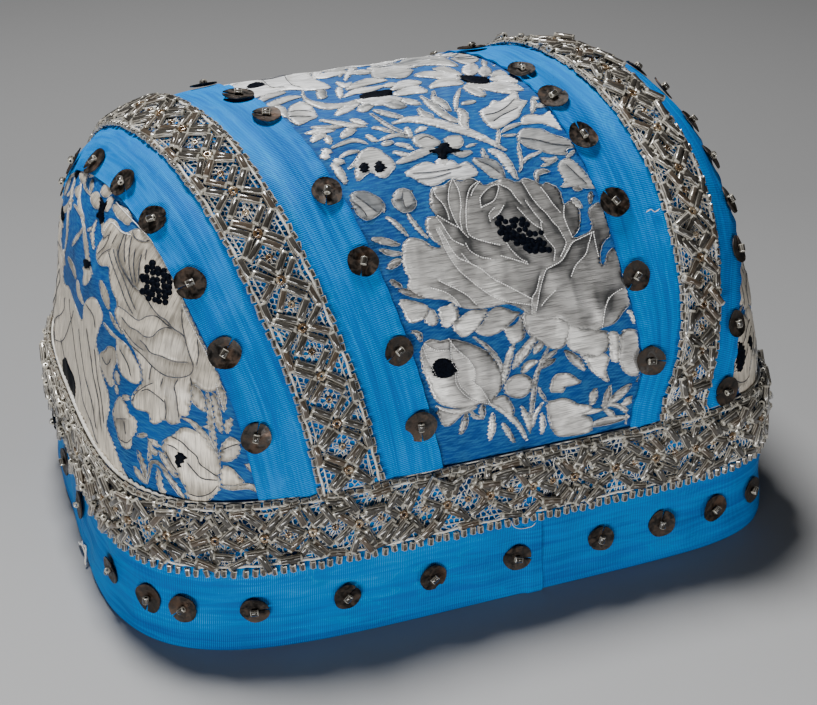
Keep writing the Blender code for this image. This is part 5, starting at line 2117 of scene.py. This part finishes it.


# Loose threads, drawn over the photo: radius, lift, and photo pixels

LOOSE_PITCH = 0.0005
LOOSE_THREADS = (
    (0.00032, 0.0006, ((84, 541), (81, 546), (79, 551), (80, 556), (78, 560), (77, 565))),
    (0.00018, 0.0008, ((88, 539), (83, 548), (76, 551), (74, 557), (79, 563), (82, 558))),
    (0.00014, 0.0018, ((548, 446), (551, 452), (549, 460), (553, 470), (556, 484), (555, 497))),
    (0.00013, 0.0019, ((556, 446), (554, 453), (558, 461), (561, 475), (559, 490), (562, 503))),
    (0.00012, 0.0020, ((545, 450), (556, 454), (566, 452), (572, 457), (565, 463), (556, 459))),
    (0.00012, 0.0019, ((564, 446), (562, 455), (568, 468), (566, 482), (571, 494))),
    (0.00018, 0.0016, ((678, 407), (684, 401), (693, 398), (702, 402), (705, 409), (697, 413))),
    (0.00016, 0.0018, ((681, 411), (690, 405), (697, 408), (703, 417), (701, 427), (705, 436))),
    (0.00016, 0.0020, ((695, 399), (699, 410), (697, 422), (692, 433))),
    (0.00012, 0.0008, ((643, 214), (648, 211), (653, 213), (657, 210))),
    (0.00012, 0.0010, ((508, 517), (511, 523), (520, 526), (529, 524), (533, 519))),
    (0.00016, 0.0020, ((246, 530), (255, 536), (262, 529), (270, 538), (278, 533))),
    (0.00016, 0.0020, ((330, 512), (338, 505), (345, 514), (352, 508))),
)


def loose_threads(drawing, finish):
    parts = []
    for radius, lift, pixels in LOOSE_THREADS:
        line = smooth_line(drawing.places(pixels), LOOSE_PITCH)
        out = form_normal(unworn(line))
        rise = CLOTH_FACE + lift * (0.6 + 0.4 * np.sin(np.linspace(0, 7, len(line))))
        parts.append(tube(line + out * rise[:, None], out, radius))
    sewn("loose_threads", joined(parts), finish)


# Camera, light and floor

CAMERA_NEAR = 0.01
SKY_COLOUR = (0.80, 0.81, 0.82, 1)
SKY_STRENGTH = 0.020
KEY_PLACE = (-0.08, 0.30, 0.82)
KEY_TARGET = (-0.08, -0.30, 0.0)
KEY_POWER = 50.0
KEY_CONE = math.radians(150)
KEY_RADIUS = 0.12
# Low lights in front: name, place, width and height, and power
LOW_LIGHTS = (
    ("fill", (-0.85, -1.10, 0.08), (0.9, 0.12), 15.0),
    ("front", (0.42, -1.25, 0.08), (0.5, 0.12), 3.5),
)
LOW_TARGET = (0, 0, 0.06)
FLOOR_REACH = 4.0
# Greys of the floor, from near to far: painted shade that darkens the floor away from the camera, for the
# light's falloff
FLOOR_PAINTED_FALLOFF = ((0.36, 0.43), (0.50, 0.28), (0.68, 0.20), (0.95, 0.19))


def view_axes():
    side = Vector((math.cos(CAMERA_AZIMUTH), -math.sin(CAMERA_AZIMUTH), 0))
    flat = math.cos(CAMERA_ELEVATION)
    back = Vector((-math.sin(CAMERA_AZIMUTH) * flat, -math.cos(CAMERA_AZIMUTH) * flat,
                   math.sin(CAMERA_ELEVATION)))
    target = side * CAMERA_SIDE + Vector((AXIS_X, AXIS_Y, CAMERA_HEIGHT))
    return side, back.cross(side), back, target + back * CAMERA_DISTANCE


def camera():
    side, up, back, place = view_axes()
    data = bpy.data.cameras.new("camera")
    data.sensor_width = SENSOR
    data.lens = CAMERA_FOCUS * SENSOR
    data.clip_start = CAMERA_NEAR
    shown = bpy.data.objects.new("camera", data)
    shown.matrix_world = Matrix.Translation(place) @ Matrix((side, up, back)).transposed().to_4x4()
    bpy.context.scene.collection.objects.link(shown)
    bpy.context.scene.camera = shown


def lamp(name, kind, place, target, power):
    """A light at a place, turned to a target."""
    data = bpy.data.lights.new(name, kind)
    data.energy = power
    shown = bpy.data.objects.new(name, data)
    way = Vector(place) - Vector(target)
    shown.matrix_world = Matrix.Translation(place) @ way.to_track_quat("Z", "Y").to_matrix().to_4x4()
    bpy.context.scene.collection.objects.link(shown)
    return data


def lights():
    world = bpy.data.worlds.new("studio")
    bpy.context.scene.world = world
    world.use_nodes = True
    sky = world.node_tree.nodes["Background"]
    sky.inputs["Color"].default_value = SKY_COLOUR
    sky.inputs["Strength"].default_value = SKY_STRENGTH
    key = lamp("key", "SPOT", KEY_PLACE, KEY_TARGET, KEY_POWER)
    key.spot_size = KEY_CONE
    key.spot_blend = 1.0
    key.shadow_soft_size = KEY_RADIUS
    for name, place, size, power in LOW_LIGHTS:
        low = lamp(name, "AREA", place, LOW_TARGET, power)
        low.shape = "RECTANGLE"
        low.size, low.size_y = size


def floor():
    grey = Finish("floor", 0.85)
    # the floor's grey darkens with distance along the view: painted falloff of the light
    depth = grey.node("ShaderNodeSeparateXYZ", {0: grey.place("Object", turn=CAMERA_AZIMUTH)}).outputs[1]
    grey.link(grey.ramp(grey.sum(depth, 0.5), FLOOR_PAINTED_FALLOFF), "Base Color")
    data = bpy.data.meshes.new("floor")
    corners = [(x * FLOOR_REACH, y * FLOOR_REACH, 0) for x, y in ((-1, -1), (1, -1), (1, 1), (-1, 1))]
    data.from_pydata(corners, [], [(0, 1, 2, 3)])
    data.materials.append(grey.material)
    shown = bpy.data.objects.new("floor", data)
    bpy.context.scene.collection.objects.link(shown)


# The whole headdress

RIM_JOIN = 0.0185
ARCH_GALLOON_TUCK = 0.0012
ARCH_MESS = {"left": 1.0, "right": 1.9}
RIM_MESS = 2.6


def build():
    camera()
    lights()
    floor()
    silk = watered_silk("watered_silk", 1.0)
    # the rim's silk is painted darker than the arches' silk: painted shade on the rim's face
    rim_silk = watered_silk("watered_silk_rim", 0.80)
    ground = blue_ground()
    inside = plain_lining()
    glass = smoky_glass()
    finishes = {"glass": glass, "amber": amber_glass(), "thread": white_thread(), "metal": rusty_metal()}
    rim = rim_band()
    rim_ribbon(rim, rim_silk)
    center = CenterCloth()
    center_brocade(center, ground, inside)
    sides = {"left": SideCloth(-1), "right": SideCloth(1)}
    bands = {hand: arch_band(cloth.side) for hand, cloth in sides.items()}
    for hand, cloth in sides.items():
        side_brocade(cloth, hand, ground, inside)
        band = bands[hand]
        arch_ribbon(cloth.side, hand, band, silk)
        ends = foot_to_foot(band, 0.0, RIM_GALLOON_HIGH - ARCH_GALLOON_TUCK)
        seed = 21 + cloth.side
        galloon("arch_" + hand, band, *ends, "galloon_arch_" + hand, finishes, seed, ARCH_MESS[hand])
        points = np.concatenate([edge_spangle_points(band, hand, edge) for edge in ("outer", "inner")])
        spangles("arch_" + hand, points, finishes, 31 + cloth.side)
    drawing = Drawing(sides.values())
    cover = Cover(bands.values())
    center_finishes, side_finishes = woven_finishes()
    center_motifs(center, cover, drawing, center_finishes)
    for hand, cloth in sides.items():
        side_motifs(sides["left"], cloth, hand, cover, drawing, side_finishes)
    loose_threads(drawing, finishes["thread"])
    spangles("rim", rim_spangle_points(), finishes, 41)
    galloon("rim", rim, RIM_JOIN, RIM_JOIN + rim.along[-1], "galloon_rim", finishes, 51, RIM_MESS)


build()
